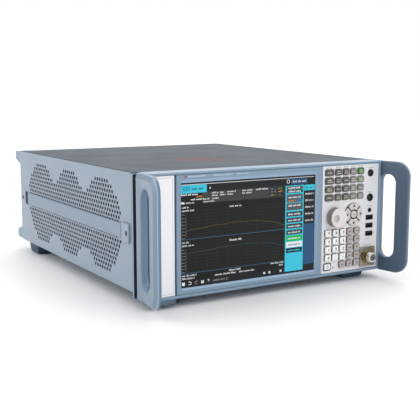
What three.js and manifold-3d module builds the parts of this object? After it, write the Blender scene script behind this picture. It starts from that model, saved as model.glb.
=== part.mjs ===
// Bench network analyzer in a full-rack case: millimetres, +Z up, front panel facing -Y.
// Inside this file y = 0 is the front face of the cast front frame and z = 0 is that frame's underside.
// The exported group moves the whole instrument so that it stands on z = 0, centred on the origin.
import * as THREE from 'three';
import Module from 'manifold-3d';
import { mergeVertices } from 'three/addons/utils/BufferGeometryUtils.js';

// ---- driving dimensions: case ----
const HALF_WIDTH = 213;
const FRAME_TOP = 173.6;
const FRAME_FRONT_DEPTH = 27;
const LUG_DEPTH = 17;
const CASE_FRONT = 32;
const CASE_BACK = 503;
const CASE_BOTTOM = 10.7;
const CASE_TOP = 172.7;
const GAP = 0.3;
const SHEET = 2;
const THIN_SHEET = 1.5;

// ---- driving dimensions: handles, straps, feet ----
const HANDLE_THICKNESS = 10;
const HANDLE_BACK = 24;
const HANDLE_FRONT = -50;
const HANDLE_CORNER = 20;
const HANDLE_CHAMFER = 2.5;
const HANDLE_FLARE = Math.tan(THREE.MathUtils.degToRad(9));
const SLOT_BACK = 2;
const SLOT_FRONT = -26;
const SLOT_BOTTOM = 23;
const SLOT_TOP = 153;
const STRAP_THICKNESS = 3;
const STRAP_CENTRE_Z = 91.2;
const STRAP_HEIGHT = 21;
const STRAP_ENDS = [71, 461];
const FOOT_BOTTOM = -11;
const FOOT_TOP_SIZE = 46;
const FOOT_PAD_SIZE = 38;
const FRONT_FEET = { x: 166, y: 40 };
const REAR_FEET = { x: 183, y: 467 };
const BUMPER_BACK = 530;
const BUMPER_X = [180, 212.7];
const BUMPER_ROOT_X = [184, 208];
const BUMPER_HEIGHT = 24;

// ---- driving dimensions: front panel ----
const WINDOW_EDGE_X = 197.4;
const WINDOW_Z = [6, 170];
const POST_X = [-164.6, -162.4];
const PANEL_FRONT = 0.6;
const PANEL_BACK = 3.6;
const PANEL_SPLIT_X = 86.4;
const SCREEN_X = [-153.5, 74.5];
const SCREEN_Z = [14.2, 158.5];
const BEZEL_Y = [0.2, 3.3];
const DISPLAY_Y = [3.6, 14];

// ---- driving dimensions: controls ----
const KEY_BACK = 4.2;
const KEY_CLEARANCE = 0.4;
const FUNCTION_KEY_FRONT = -1.6;
const NUMBER_KEY_FRONT = -2.4;
const FUNCTION_KEY_HEIGHT = 9.4;
const FUNCTION_ROW_PITCH = 12.65;
const FUNCTION_ROW_TOP_Z = 159.7;
const FUNCTION_COLUMNS = [{ x: 99, width: 16 }].concat(
  [0, 1, 2, 3].map((column) => ({ x: 116 + column * 14.7, width: 12 })),
);
const NUMBER_KEY_SIZE = { width: 11.5, height: 10 };
const NUMBER_COLUMN_START_X = 97.5;
const NUMBER_COLUMN_PITCH = 14.27;
const NUMBER_ROW_TOP_Z = 67.75;
const NUMBER_ROW_PITCH = 12.55;
const NUMBER_COLUMN_COUNT = 5;
const POWER_KEY = { x: 97.8, z: 16, width: 11.6, height: 8.4 };
const KNOB = { x: 110, z: 92, radius: 15, front: -12.4 };
const SHAFT_RADIUS = 2.4;
const NAV_PAD = { x: 147.5, z: 93.5, radius: 17.2, inner: 7.2, front: -1.4 };
const ENTER_RADIUS = 5.6;

// ---- driving dimensions: connectors ----
const CONNECTOR_X = 180.5;
const AUX_SOCKETS = [
  { name: 'probe_power_socket', z: 155.6, radius: 5.3 },
  { name: 'trigger_socket', z: 117.3, radius: 5.75 },
];
const HEADPHONE = { z: 97.5, radius: 3.25 };
const USB = {
  width: 14, height: 7.2, openWidth: 12.5, openHeight: 5.1, topZ: 86.1, pitch: 12.7, back: 16, depth: 12,
};
const RF_PORT = { x: 176.6, z: 24.7, plate: 30.6, barrel: 7.9, base: 10.5, bore: 4.2, front: -14 };

// ---- driving dimensions: back of the case ----
const REAR_PANEL_Y = [499.4, 501.4];
const INLET = {
  x: 150, z: 44, width: 48, height: 30, openWidth: 24.5, openHeight: 17, front: 482, back: 504.7,
};
const ROCKER = { x: 108, z: 44, width: 13, height: 20 };
const FAN = { x: -60, z: 92, size: 92, bore: 43, rotor: 40.5, hub: 17, front: 473, back: 498, blades: 7 };
const REAR_SOCKETS = [
  { name: 'reference_input_socket', x: 60 },
  { name: 'reference_output_socket', x: 34 },
];
const REAR_SOCKET = { z: 140, radius: 4.8, bore: 1.9, back: 514 };

// ---- finishes ----
const FINISHES = {
  blueCase: { color: 0x9caec0, roughness: 0.45, metalness: 0.25 },
  blueFrame: { color: 0x809bbb, roughness: 0.4, metalness: 0.25 },
  topSheet: { color: 0x6f7a88, roughness: 0.5, metalness: 0.25 },
  whitePanel: { color: 0xe4e4e6, roughness: 0.5, metalness: 0.0 },
  darkKey: { color: 0x5f5c58, roughness: 0.55, metalness: 0.0 },
  whiteKey: { color: 0xf2f2f2, roughness: 0.5, metalness: 0.0 },
  screen: { color: 0x161a20, roughness: 0.12, metalness: 0.0 },
  blackPlastic: { color: 0x1d1f22, roughness: 0.5, metalness: 0.0 },
  footPlastic: { color: 0x3c5266, roughness: 0.6, metalness: 0.0 },
  zincSheet: { color: 0xa9acae, roughness: 0.4, metalness: 0.9 },
  nickel: { color: 0xb9b6ae, roughness: 0.25, metalness: 1.0 },
  board: { color: 0x1f5a38, roughness: 0.6, metalness: 0.0 },
};

const wasm = await Module();
wasm.setup();

// ---- helpers: closed geometries ----
function block([x0, x1], [y0, y1], [z0, z1]) {
  const geometry = new THREE.BoxGeometry(x1 - x0, y1 - y0, z1 - z0);
  geometry.translate((x0 + x1) / 2, (y0 + y1) / 2, (z0 + z1) / 2);
  return geometry;
}

// A shape drawn in x and z, given a thickness along y.
function alongY(shape, [y0, y1], curveSegments = 12) {
  const geometry = new THREE.ExtrudeGeometry(shape, { depth: y1 - y0, bevelEnabled: false, curveSegments });
  geometry.rotateX(Math.PI / 2);
  geometry.translate(0, y1, 0);
  return geometry;
}

// A shape drawn in y and z, given a thickness along x.
function alongX(shape, [x0, x1], options = {}) {
  const bevel = options.bevel ?? 0;
  const geometry = new THREE.ExtrudeGeometry(shape, {
    depth: x1 - x0 - 2 * bevel,
    bevelEnabled: bevel > 0,
    bevelSize: bevel,
    bevelOffset: -bevel,
    bevelThickness: bevel,
    bevelSegments: 1,
    curveSegments: options.curveSegments ?? 6,
  });
  const yAxis = new THREE.Vector3(0, 1, 0);
  const zAxis = new THREE.Vector3(0, 0, 1);
  const xAxis = new THREE.Vector3(1, 0, 0);
  geometry.applyMatrix4(new THREE.Matrix4().makeBasis(yAxis, zAxis, xAxis));
  geometry.translate(x0 + bevel, 0, 0);
  return geometry;
}

// A profile of [radius, y] pairs, listed from the back of the piece round to its front,
// turned about a line parallel to y through x, z.
function turned(profile, x, z, segments = 24) {
  const points = profile.map(([radius, y]) => new THREE.Vector2(radius, y)).reverse();
  const geometry = new THREE.LatheGeometry(points, segments);
  geometry.translate(x, 0, z);
  return geometry;
}

function rectangle(target, [u0, u1], [v0, v1]) {
  target.moveTo(u0, v0);
  target.lineTo(u1, v0);
  target.lineTo(u1, v1);
  target.lineTo(u0, v1);
  target.closePath();
  return target;
}

function polygon(points) {
  const shape = new THREE.Shape();
  points.forEach(([u, v], index) => (index ? shape.lineTo(u, v) : shape.moveTo(u, v)));
  shape.closePath();
  return shape;
}

const around = (centre, size, extra = 0) => [centre - size / 2 - extra, centre + size / 2 + extra];
const rectangularHole = (uRange, vRange) => rectangle(new THREE.Shape(), uRange, vRange);
const roundHole = (u, v, radius) => new THREE.Shape().absarc(u, v, radius, 0, Math.PI * 2, false);

// ---- helpers: booleans ----
function toSolid(geometry) {
  const bare = geometry.clone();
  bare.deleteAttribute('normal');
  bare.deleteAttribute('uv');
  const merged = mergeVertices(bare, 1e-4);
  const mesh = new wasm.Mesh({
    numProp: 3,
    vertProperties: Float32Array.from(merged.attributes.position.array),
    triVerts: Uint32Array.from(merged.index.array),
  });
  mesh.merge();
  return new wasm.Manifold(mesh);
}

function toGeometry(solid) {
  const mesh = solid.getMesh();
  const geometry = new THREE.BufferGeometry();
  geometry.setAttribute('position', new THREE.BufferAttribute(Float32Array.from(mesh.vertProperties), 3));
  geometry.setIndex(Array.from(mesh.triVerts));
  geometry.computeVertexNormals();
  return geometry;
}

const join = (...geometries) => toGeometry(geometries.map(toSolid).reduce((sum, next) => sum.add(next)));
const cut = (body, ...tools) =>
  toGeometry(tools.map(toSolid).reduce((rest, tool) => rest.subtract(tool), toSolid(body)));

// A flat plate facing y with holes drawn as shapes in x and z.
function plateWithHoles(xRange, zRange, [y0, y1], holes) {
  const tools = holes.map((hole) => alongY(hole, [y0 - 1, y1 + 1]));
  return cut(block(xRange, [y0, y1], zRange), ...tools);
}

// ---- assembly ----
const group = new THREE.Group();
group.position.set(0, -(HANDLE_FRONT + BUMPER_BACK) / 2, -FOOT_BOTTOM);

function part(name, finish, geometry) {
  const mesh = new THREE.Mesh(geometry, new THREE.MeshStandardMaterial(FINISHES[finish]));
  mesh.name = name;
  group.add(mesh);
}

// ---- cast front frame with its two windows, side flanges and lower left lug ----
function frontFrame() {
  const ring = plateWithHoles([-HALF_WIDTH + HANDLE_THICKNESS + GAP, HALF_WIDTH - HANDLE_THICKNESS - GAP],
    [0, FRAME_TOP], [0, FRAME_FRONT_DEPTH + 1], [
      rectangularHole([-WINDOW_EDGE_X, POST_X[0]], WINDOW_Z),
      rectangularHole([POST_X[1], WINDOW_EDGE_X], WINDOW_Z),
    ]);
  const flange = plateWithHoles([-HALF_WIDTH, HALF_WIDTH], [1.7, 172],
    [FRAME_FRONT_DEPTH + 1, CASE_FRONT], [rectangularHole([-200, 200], [16, 166])]);
  const lug = block([-HALF_WIDTH + HANDLE_THICKNESS + GAP, POST_X[0] + 1], [0, LUG_DEPTH], [-5, 1]);
  return join(ring, flange, lug);
}
part('front_frame', 'blueFrame', frontFrame());

// ---- front handles: a plate beside the frame and a flared grip with a long finger slot ----
function handleOutline() {
  const shape = new THREE.Shape();
  shape.moveTo(0, 0);
  shape.lineTo(0, FRAME_TOP);
  shape.lineTo(HANDLE_FRONT + HANDLE_CORNER, FRAME_TOP);
  shape.absarc(HANDLE_FRONT + HANDLE_CORNER, FRAME_TOP - HANDLE_CORNER, HANDLE_CORNER, Math.PI / 2, Math.PI);
  shape.absarc(HANDLE_FRONT + HANDLE_CORNER, HANDLE_CORNER, HANDLE_CORNER, Math.PI, Math.PI * 1.5);
  shape.closePath();
  return shape;
}

function slotOutline() {
  const radius = (SLOT_BACK - SLOT_FRONT) / 2;
  const middle = (SLOT_BACK + SLOT_FRONT) / 2;
  const shape = new THREE.Shape();
  shape.absarc(middle, SLOT_TOP - radius, radius, 0, Math.PI);
  shape.absarc(middle, SLOT_BOTTOM + radius, radius, Math.PI, Math.PI * 2);
  shape.closePath();
  return shape;
}

function handle(side) {
  const inner = HALF_WIDTH - HANDLE_THICKNESS;
  const grip = alongX(handleOutline(), [inner, HALF_WIDTH], { bevel: HANDLE_CHAMFER, curveSegments: 8 });
  grip.applyMatrix4(new THREE.Matrix4().set(1, -HANDLE_FLARE, 0, 0, 0, 1, 0, 0, 0, 0, 1, 0, 0, 0, 0, 1));
  const base = block([inner, HALF_WIDTH], [-3, HANDLE_BACK], [0, FRAME_TOP]);
  const slot = alongX(slotOutline(), [inner - 20, HALF_WIDTH + 30], { curveSegments: 10 });
  const right = toSolid(cut(join(grip, base), slot));
  return toGeometry(side > 0 ? right : right.mirror([1, 0, 0]));
}
part('handle_left', 'blueFrame', handle(-1));
part('handle_right', 'blueFrame', handle(1));

// ---- outer covers ----
function uChannel([x0, x1], zPlate, flangeReach, sheet) {
  const down = Math.sign(flangeReach);
  const outerZ = zPlate;
  const innerZ = zPlate + down * sheet;
  const endZ = zPlate + flangeReach;
  const outline = polygon([
    [x0, outerZ], [x1, outerZ], [x1, endZ], [x1 - sheet, endZ],
    [x1 - sheet, innerZ], [x0 + sheet, innerZ], [x0 + sheet, endZ], [x0, endZ],
  ]);
  return alongY(outline, [CASE_FRONT + GAP, CASE_BACK]);
}
const COVER_HALF = HALF_WIDTH - SHEET - GAP;
part('top_cover', 'topSheet', uChannel([-COVER_HALF, COVER_HALF], FRAME_TOP - GAP, -14, THIN_SHEET));
part('bottom_cover', 'blueCase', uChannel([-COVER_HALF, COVER_HALF], CASE_BOTTOM, 14, THIN_SHEET));
for (const [name, side] of [['left', -1], ['right', 1]]) {
  const xRange = side < 0 ? [-HALF_WIDTH, -HALF_WIDTH + SHEET] : [HALF_WIDTH - SHEET, HALF_WIDTH];
  const cover = block(xRange, [CASE_FRONT + GAP, CASE_BACK], [CASE_BOTTOM, CASE_TOP]);
  part(`side_cover_${name}`, 'blueCase', cover);
}

// ---- carrying straps along the sides ----
function strap(side) {
  const inside = side * (HALF_WIDTH + GAP);
  const outside = side * (HALF_WIDTH + GAP + STRAP_THICKNESS);
  const taper = 6;
  const outline = polygon([
    [inside, STRAP_ENDS[0]], [inside, STRAP_ENDS[1]],
    [outside, STRAP_ENDS[1] - taper], [outside, STRAP_ENDS[0] + taper],
  ]);
  const geometry = new THREE.ExtrudeGeometry(outline, { depth: STRAP_HEIGHT, bevelEnabled: false });
  geometry.translate(0, 0, STRAP_CENTRE_Z - STRAP_HEIGHT / 2);
  return geometry;
}
part('carry_strap_left', 'blueCase', strap(-1));
part('carry_strap_right', 'blueCase', strap(1));

// ---- feet under the case and bumpers behind it ----
function foot(x, y) {
  const height = CASE_BOTTOM - GAP - FOOT_BOTTOM;
  const topRadius = FOOT_TOP_SIZE / Math.SQRT2;
  const padRadius = FOOT_PAD_SIZE / Math.SQRT2;
  const geometry = new THREE.CylinderGeometry(topRadius, padRadius, height, 4);
  geometry.rotateY(Math.PI / 4);
  geometry.rotateX(Math.PI / 2);
  geometry.translate(x, y, FOOT_BOTTOM + height / 2);
  return geometry;
}

// A front foot reaches forward under the front frame, so it is stepped to clear the ring and its flange.
function frontFoot(x, y) {
  const across = around(x, FOOT_TOP_SIZE + 4);
  const underRing = block(across, [0, FRAME_FRONT_DEPTH + 1 + GAP], [-GAP, 20]);
  const underFlange = block(across, [0, CASE_FRONT + GAP], [1.7 - GAP, 20]);
  return cut(foot(x, y), underRing, underFlange);
}

function bumper(side, edgeZ, inwards) {
  const root = CASE_BACK + GAP;
  const profile = [[root, 0], [BUMPER_BACK, 1], [BUMPER_BACK, BUMPER_HEIGHT - 9], [root, BUMPER_HEIGHT]];
  const placed = profile.map(([y, z]) => [y, edgeZ + inwards * z]);
  const onSide = ([low, high]) => (side < 0 ? [-high, -low] : [low, high]);
  const rootZ = [edgeZ + inwards * 4, edgeZ + inwards * (BUMPER_HEIGHT - 4)].sort((a, b) => a - b);
  const body = alongX(polygon(placed), onSide(BUMPER_X));
  return join(body, block(onSide(BUMPER_ROOT_X), [REAR_PANEL_Y[1] + GAP, root + 2], rootZ));
}

for (const [name, side] of [['left', -1], ['right', 1]]) {
  part(`foot_front_${name}`, 'footPlastic', frontFoot(side * FRONT_FEET.x, FRONT_FEET.y));
  part(`foot_rear_${name}`, 'footPlastic', foot(side * REAR_FEET.x, REAR_FEET.y));
  part(`rear_bumper_lower_${name}`, 'blueCase', bumper(side, CASE_BOTTOM, 1));
  part(`rear_bumper_upper_${name}`, 'blueCase', bumper(side, CASE_TOP, -1));
}

// ---- filler strip, screen bezel and display ----
part('filler_panel', 'whitePanel', block([-WINDOW_EDGE_X + GAP, POST_X[0] - GAP], [0.4, 3.4],
  [WINDOW_Z[0] + GAP, WINDOW_Z[1] - GAP]));
part('screen_bezel', 'blueFrame', plateWithHoles([POST_X[1] + GAP, PANEL_SPLIT_X],
  [WINDOW_Z[0] + GAP, WINDOW_Z[1] - GAP], BEZEL_Y, [rectangularHole(SCREEN_X, SCREEN_Z)]));
part('display_module', 'screen', block([SCREEN_X[0] - 4, SCREEN_X[1] + 4], DISPLAY_Y,
  [SCREEN_Z[0] - 4, SCREEN_Z[1] + 4]));

// ---- keys: each row of caps shares one carrier bar, as on a moulded key strip ----
function keyRow(keys, z, height, front) {
  const carrier = block([keys[0].x, keys[keys.length - 1].x], [1.2, 3.2], [z - 2, z + 2]);
  const caps = keys.map(({ x, width }) => block(around(x, width), [front, KEY_BACK], around(z, height)));
  return join(carrier, ...caps);
}

function rowSlot(keys, z, height) {
  const first = keys[0];
  const last = keys[keys.length - 1];
  const xRange = [first.x - first.width / 2 - KEY_CLEARANCE, last.x + last.width / 2 + KEY_CLEARANCE];
  return rectangularHole(xRange, around(z, height, KEY_CLEARANCE));
}

const panelHoles = [];
for (let row = 0; row < 4; row += 1) {
  const z = FUNCTION_ROW_TOP_Z - row * FUNCTION_ROW_PITCH;
  const keys = keyRow(FUNCTION_COLUMNS, z, FUNCTION_KEY_HEIGHT, FUNCTION_KEY_FRONT);
  part(`function_key_row_${row + 1}`, 'darkKey', keys);
  panelHoles.push(rowSlot(FUNCTION_COLUMNS, z, FUNCTION_KEY_HEIGHT));
}

for (let row = 0; row < 5; row += 1) {
  const z = NUMBER_ROW_TOP_Z - row * NUMBER_ROW_PITCH;
  const firstColumn = row === 4 ? 2 : 0;
  const keys = [];
  for (let column = firstColumn; column < NUMBER_COLUMN_COUNT; column += 1) {
    keys.push({ x: NUMBER_COLUMN_START_X + column * NUMBER_COLUMN_PITCH, width: NUMBER_KEY_SIZE.width });
  }
  part(`number_key_row_${row + 1}`, 'whiteKey', keyRow(keys, z, NUMBER_KEY_SIZE.height, NUMBER_KEY_FRONT));
  panelHoles.push(rowSlot(keys, z, NUMBER_KEY_SIZE.height));
}

part('power_key', 'whiteKey', block(around(POWER_KEY.x, POWER_KEY.width), [-1, KEY_BACK],
  around(POWER_KEY.z, POWER_KEY.height)));
panelHoles.push(rectangularHole(around(POWER_KEY.x, POWER_KEY.width, KEY_CLEARANCE),
  around(POWER_KEY.z, POWER_KEY.height, KEY_CLEARANCE)));

// ---- arrow pad: four ring sectors round a centre key ----
function arrowKey(angle) {
  const halfSpan = THREE.MathUtils.degToRad(42);
  const shape = new THREE.Shape();
  shape.absarc(NAV_PAD.x, NAV_PAD.z, NAV_PAD.radius, angle - halfSpan, angle + halfSpan, false);
  shape.absarc(NAV_PAD.x, NAV_PAD.z, NAV_PAD.inner, angle + halfSpan, angle - halfSpan, true);
  shape.closePath();
  return alongY(shape, [NAV_PAD.front, KEY_BACK], 5);
}
['right', 'up', 'left', 'down'].forEach((name, quarter) => {
  part(`arrow_key_${name}`, 'whiteKey', arrowKey(quarter * Math.PI / 2));
});
part('enter_key', 'whiteKey', turned([[0, KEY_BACK], [ENTER_RADIUS, KEY_BACK],
  [ENTER_RADIUS, NAV_PAD.front - 0.4], [0, NAV_PAD.front - 0.4]], NAV_PAD.x, NAV_PAD.z));
panelHoles.push(roundHole(NAV_PAD.x, NAV_PAD.z, NAV_PAD.radius + KEY_CLEARANCE));

// ---- rotary knob on its encoder ----
function knob() {
  const rim = 1.2;
  const body = turned([[0, 0.1], [KNOB.radius, 0.1], [KNOB.radius, KNOB.front + rim],
    [KNOB.radius - rim, KNOB.front], [0, KNOB.front]], KNOB.x, KNOB.z, 32);
  const boreRadius = SHAFT_RADIUS + GAP;
  const bore = turned([[0, 2], [boreRadius, 2], [boreRadius, -9.4], [0, -9.4]], KNOB.x, KNOB.z);
  const dimple = new THREE.SphereGeometry(6, 16, 10);
  dimple.translate(KNOB.x - 6.5, KNOB.front - 4.2, KNOB.z);
  return cut(body, bore, dimple);
}
part('rotary_knob', 'whiteKey', knob());
part('encoder_shaft', 'nickel', turned([[0, 12.7], [SHAFT_RADIUS, 12.7], [SHAFT_RADIUS, -9], [0, -9]],
  KNOB.x, KNOB.z));
const ENCODER_BORE = SHAFT_RADIUS + GAP;
const BUSHING_RADIUS = 3.5;
part('encoder_body', 'nickel', turned([[0, 16], [6.4, 16], [6.4, 9.2], [BUSHING_RADIUS, 9.2],
  [BUSHING_RADIUS, 1.2], [ENCODER_BORE, 1.2], [ENCODER_BORE, 13], [0, 13]], KNOB.x, KNOB.z));
panelHoles.push(roundHole(KNOB.x, KNOB.z, BUSHING_RADIUS + KEY_CLEARANCE));

// ---- connectors on the key panel ----
AUX_SOCKETS.forEach(({ name, z, radius }) => {
  part(name, 'blackPlastic', turned([[0, 12], [radius, 12], [radius, -0.8], [radius - 1.3, -0.8],
    [radius - 1.3, 0.4], [0, 0.4]], CONNECTOR_X, z));
  panelHoles.push(roundHole(CONNECTOR_X, z, radius + KEY_CLEARANCE));
});
part('headphone_jack', 'blackPlastic', turned([[0, 14], [HEADPHONE.radius, 14], [HEADPHONE.radius, -0.6],
  [1.8, -0.6], [1.8, 11], [0, 11]], CONNECTOR_X, HEADPHONE.z));
panelHoles.push(roundHole(CONNECTOR_X, HEADPHONE.z, HEADPHONE.radius + KEY_CLEARANCE));

for (let port = 0; port < 3; port += 1) {
  const z = USB.topZ - port * USB.pitch;
  const shell = block(around(CONNECTOR_X, USB.width), [0, USB.back], around(z, USB.height));
  const mouth = block(around(CONNECTOR_X, USB.openWidth), [-2, USB.depth], around(z, USB.openHeight));
  part(`usb_port_${port + 1}`, 'nickel', cut(shell, mouth));
  panelHoles.push(rectangularHole(around(CONNECTOR_X, USB.width, KEY_CLEARANCE),
    around(z, USB.height, KEY_CLEARANCE)));
}

const RF_STUB_RADIUS = 6.8;
panelHoles.push(roundHole(RF_PORT.x, RF_PORT.z, RF_STUB_RADIUS + KEY_CLEARANCE));
part('rf_flange_plate', 'zincSheet', plateWithHoles(around(RF_PORT.x, RF_PORT.plate),
  around(RF_PORT.z, RF_PORT.plate), [-1.6, PANEL_FRONT - GAP],
  [roundHole(RF_PORT.x, RF_PORT.z, RF_STUB_RADIUS + KEY_CLEARANCE)]));
part('rf_connector', 'nickel', turned([[0, 14], [RF_STUB_RADIUS, 14], [RF_STUB_RADIUS, -1.9],
  [RF_PORT.base, -1.9], [RF_PORT.base, -4.4], [RF_PORT.barrel, -4.4], [RF_PORT.barrel, RF_PORT.front],
  [RF_PORT.bore, RF_PORT.front], [RF_PORT.bore, RF_PORT.front + 9], [0, RF_PORT.front + 9]],
RF_PORT.x, RF_PORT.z));

part('key_panel', 'whitePanel', plateWithHoles([PANEL_SPLIT_X + GAP, WINDOW_EDGE_X - GAP],
  [WINDOW_Z[0] + GAP, WINDOW_Z[1] - GAP], [PANEL_FRONT, PANEL_BACK], panelHoles));
part('keypad_board', 'board', plateWithHoles([90, 168], [9, 167], [7, 8.6],
  [roundHole(KNOB.x, KNOB.z, BUSHING_RADIUS + KEY_CLEARANCE)]));

// ---- chassis and what it carries ----
const CHASSIS_FLOOR = CASE_BOTTOM + THIN_SHEET + 0.6;
const CHASSIS_TOP = CHASSIS_FLOOR + THIN_SHEET;
const CHASSIS_HALF = COVER_HALF - THIN_SHEET - GAP;
part('chassis_tray', 'zincSheet', (() => {
  const channel = uChannel([-CHASSIS_HALF, CHASSIS_HALF], CHASSIS_FLOOR, 157, THIN_SHEET);
  const trim = block([-220, 220], [REAR_PANEL_Y[0] - GAP, CASE_BACK + 5], [0, 200]);
  return cut(channel, trim);
})());

function mainBoard() {
  const top = CHASSIS_TOP + 12;
  const board = block([-190, 40], [60, 440], [top - 1.6, top]);
  const posts = [[-180, 70], [-180, 430], [30, 70], [30, 430]].map(([x, y]) => {
    const postHeight = 11;
    const post = new THREE.CylinderGeometry(3, 3, postHeight, 12);
    post.rotateX(Math.PI / 2);
    post.translate(x, y, CHASSIS_TOP + GAP + postHeight / 2);
    return post;
  });
  const heatSink = block([-130, -60], [180, 260], [top - 0.5, top + 28]);
  const memory = block([-40, -32], [180, 310], [top - 0.5, top + 30]);
  return join(board, heatSink, memory, ...posts);
}
part('main_board', 'board', mainBoard());
part('power_supply', 'zincSheet', block([106, 200], [330, 476], [CHASSIS_TOP + GAP, 96]));
part('rf_module', 'zincSheet', join(
  block([60, 200], [60, 300], [CHASSIS_TOP + GAP, 120]),
  block([80, 180], [80, 280], [119, 140]),
));

// ---- cooling fan behind the rear panel ----
function fanHousing() {
  const frame = plateWithHoles(around(FAN.x, FAN.size), around(FAN.z, FAN.size), [FAN.front, FAN.back],
    [roundHole(FAN.x, FAN.z, FAN.bore)]);
  const motor = turned([[0, FAN.front + 3], [FAN.hub, FAN.front + 3], [FAN.hub, FAN.front], [0, FAN.front]],
    FAN.x, FAN.z);
  const strut = block([FAN.x - FAN.bore - 1, FAN.x + FAN.bore + 1], [FAN.front, FAN.front + 3],
    around(FAN.z, 5));
  const crossStrut = block(around(FAN.x, 5), [FAN.front, FAN.front + 3],
    [FAN.z - FAN.bore - 1, FAN.z + FAN.bore + 1]);
  return join(frame, motor, strut, crossStrut);
}

function fanRotor() {
  const front = FAN.front + 4;
  const back = FAN.back - 2;
  const hub = turned([[0, back], [FAN.hub, back], [FAN.hub, front], [0, front]], FAN.x, FAN.z);
  const blades = [];
  for (let index = 0; index < FAN.blades; index += 1) {
    const blade = new THREE.BoxGeometry(FAN.rotor - FAN.hub + 1, 2, 17);
    blade.rotateX(THREE.MathUtils.degToRad(48));
    blade.translate((FAN.rotor + FAN.hub) / 2 - 1, 0, 0);
    blade.rotateY(index * Math.PI * 2 / FAN.blades);
    blade.translate(FAN.x, (front + back) / 2, FAN.z);
    blades.push(blade);
  }
  return join(hub, ...blades);
}
part('fan_housing', 'blackPlastic', fanHousing());
part('fan_rotor', 'blackPlastic', fanRotor());

// ---- rear panel, mains inlet, mains rocker and reference sockets ----
const rearHoles = [
  rectangularHole(around(INLET.x, INLET.openWidth + 6, KEY_CLEARANCE),
    around(INLET.z, INLET.openHeight + 6, KEY_CLEARANCE)),
  rectangularHole(around(ROCKER.x, ROCKER.width, KEY_CLEARANCE), around(ROCKER.z, ROCKER.height, 1)),
  ...REAR_SOCKETS.map(({ x }) => roundHole(x, REAR_SOCKET.z, REAR_SOCKET.radius + KEY_CLEARANCE)),
];
part('rear_panel', 'zincSheet', plateWithHoles([-CHASSIS_HALF + 2, CHASSIS_HALF - 2], [15, 170],
  REAR_PANEL_Y, rearHoles));

function mainsInlet() {
  const flange = block(around(INLET.x, INLET.width), [REAR_PANEL_Y[1] + GAP, INLET.back],
    around(INLET.z, INLET.height));
  const body = block(around(INLET.x, INLET.openWidth + 6), [INLET.front, REAR_PANEL_Y[1] + 1],
    around(INLET.z, INLET.openHeight + 6));
  const cavity = block(around(INLET.x, INLET.openWidth), [INLET.back - 16, INLET.back + 2],
    around(INLET.z, INLET.openHeight));
  return cut(join(flange, body), cavity);
}
part('mains_inlet', 'blackPlastic', mainsInlet());

// The rocker pivots on its own centre line, so its two halves rise and fall by a few degrees.
function mainsRocker() {
  const middle = REAR_PANEL_Y[1] - 1;
  const outline = polygon([
    [middle - 6, ROCKER.z - 6], [middle + 2, ROCKER.z - ROCKER.height / 2], [middle + 3.5, ROCKER.z],
    [middle + 5.5, ROCKER.z + ROCKER.height / 2 - 1], [middle - 6, ROCKER.z + 6],
  ]);
  return alongX(outline, around(ROCKER.x, ROCKER.width));
}
part('mains_rocker', 'blackPlastic', mainsRocker());

REAR_SOCKETS.forEach(({ name, x }) => {
  part(name, 'nickel', turned([[0, 504], [REAR_SOCKET.bore, 504], [REAR_SOCKET.bore, REAR_SOCKET.back],
    [REAR_SOCKET.radius, REAR_SOCKET.back], [REAR_SOCKET.radius, 494], [0, 494]], x, REAR_SOCKET.z));
});

export default group;
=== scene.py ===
"""Looks of a bench network analyzer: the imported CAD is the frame, and every visible piece is built round it.

All measures are in millimetres, from the front frame's front face and the lower edge of the handles.
"""
import math
import random

import bmesh
import bpy
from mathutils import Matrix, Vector
from mathutils.geometry import tessellate_polygon


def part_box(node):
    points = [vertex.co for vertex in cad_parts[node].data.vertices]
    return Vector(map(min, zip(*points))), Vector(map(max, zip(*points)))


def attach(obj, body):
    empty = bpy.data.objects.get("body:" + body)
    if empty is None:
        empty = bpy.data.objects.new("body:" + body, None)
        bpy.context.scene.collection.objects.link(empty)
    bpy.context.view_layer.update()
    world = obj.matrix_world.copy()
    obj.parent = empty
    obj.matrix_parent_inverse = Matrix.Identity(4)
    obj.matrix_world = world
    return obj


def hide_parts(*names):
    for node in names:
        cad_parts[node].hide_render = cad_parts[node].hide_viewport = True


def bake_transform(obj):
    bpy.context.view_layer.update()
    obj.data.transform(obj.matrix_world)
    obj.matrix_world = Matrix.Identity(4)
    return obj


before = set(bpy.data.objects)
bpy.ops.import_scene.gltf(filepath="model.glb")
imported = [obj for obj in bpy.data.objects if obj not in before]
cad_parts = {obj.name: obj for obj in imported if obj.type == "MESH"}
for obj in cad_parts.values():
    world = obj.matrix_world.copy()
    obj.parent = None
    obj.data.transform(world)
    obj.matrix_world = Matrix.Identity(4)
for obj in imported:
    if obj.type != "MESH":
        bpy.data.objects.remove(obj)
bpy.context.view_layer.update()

scene = bpy.context.scene
MM = 0.001
ORIGIN = Vector((0.0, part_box("front_frame")[0].y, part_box("handle_left")[0].z))


def point(x, y, z):
    return Vector((x, y, z)) * MM + ORIGIN


def span(node):
    """The x, y and z ranges of a CAD node."""
    low, high = ((corner - ORIGIN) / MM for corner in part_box(node))
    return (low.x, high.x), (low.y, high.y), (low.z, high.z)


def mid(limits):
    return sum(limits) / 2


def centre_of(node):
    x, _, z = span(node)
    return mid(x), mid(z)


# ------------------------------------------------------------------ materials
def srgb(red, green, blue):
    channels = (value / 255 for value in (red, green, blue))
    linear = (c / 12.92 if c <= 0.04045 else ((c + 0.055) / 1.055) ** 2.4 for c in channels)
    return (*linear, 1.0)


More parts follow.
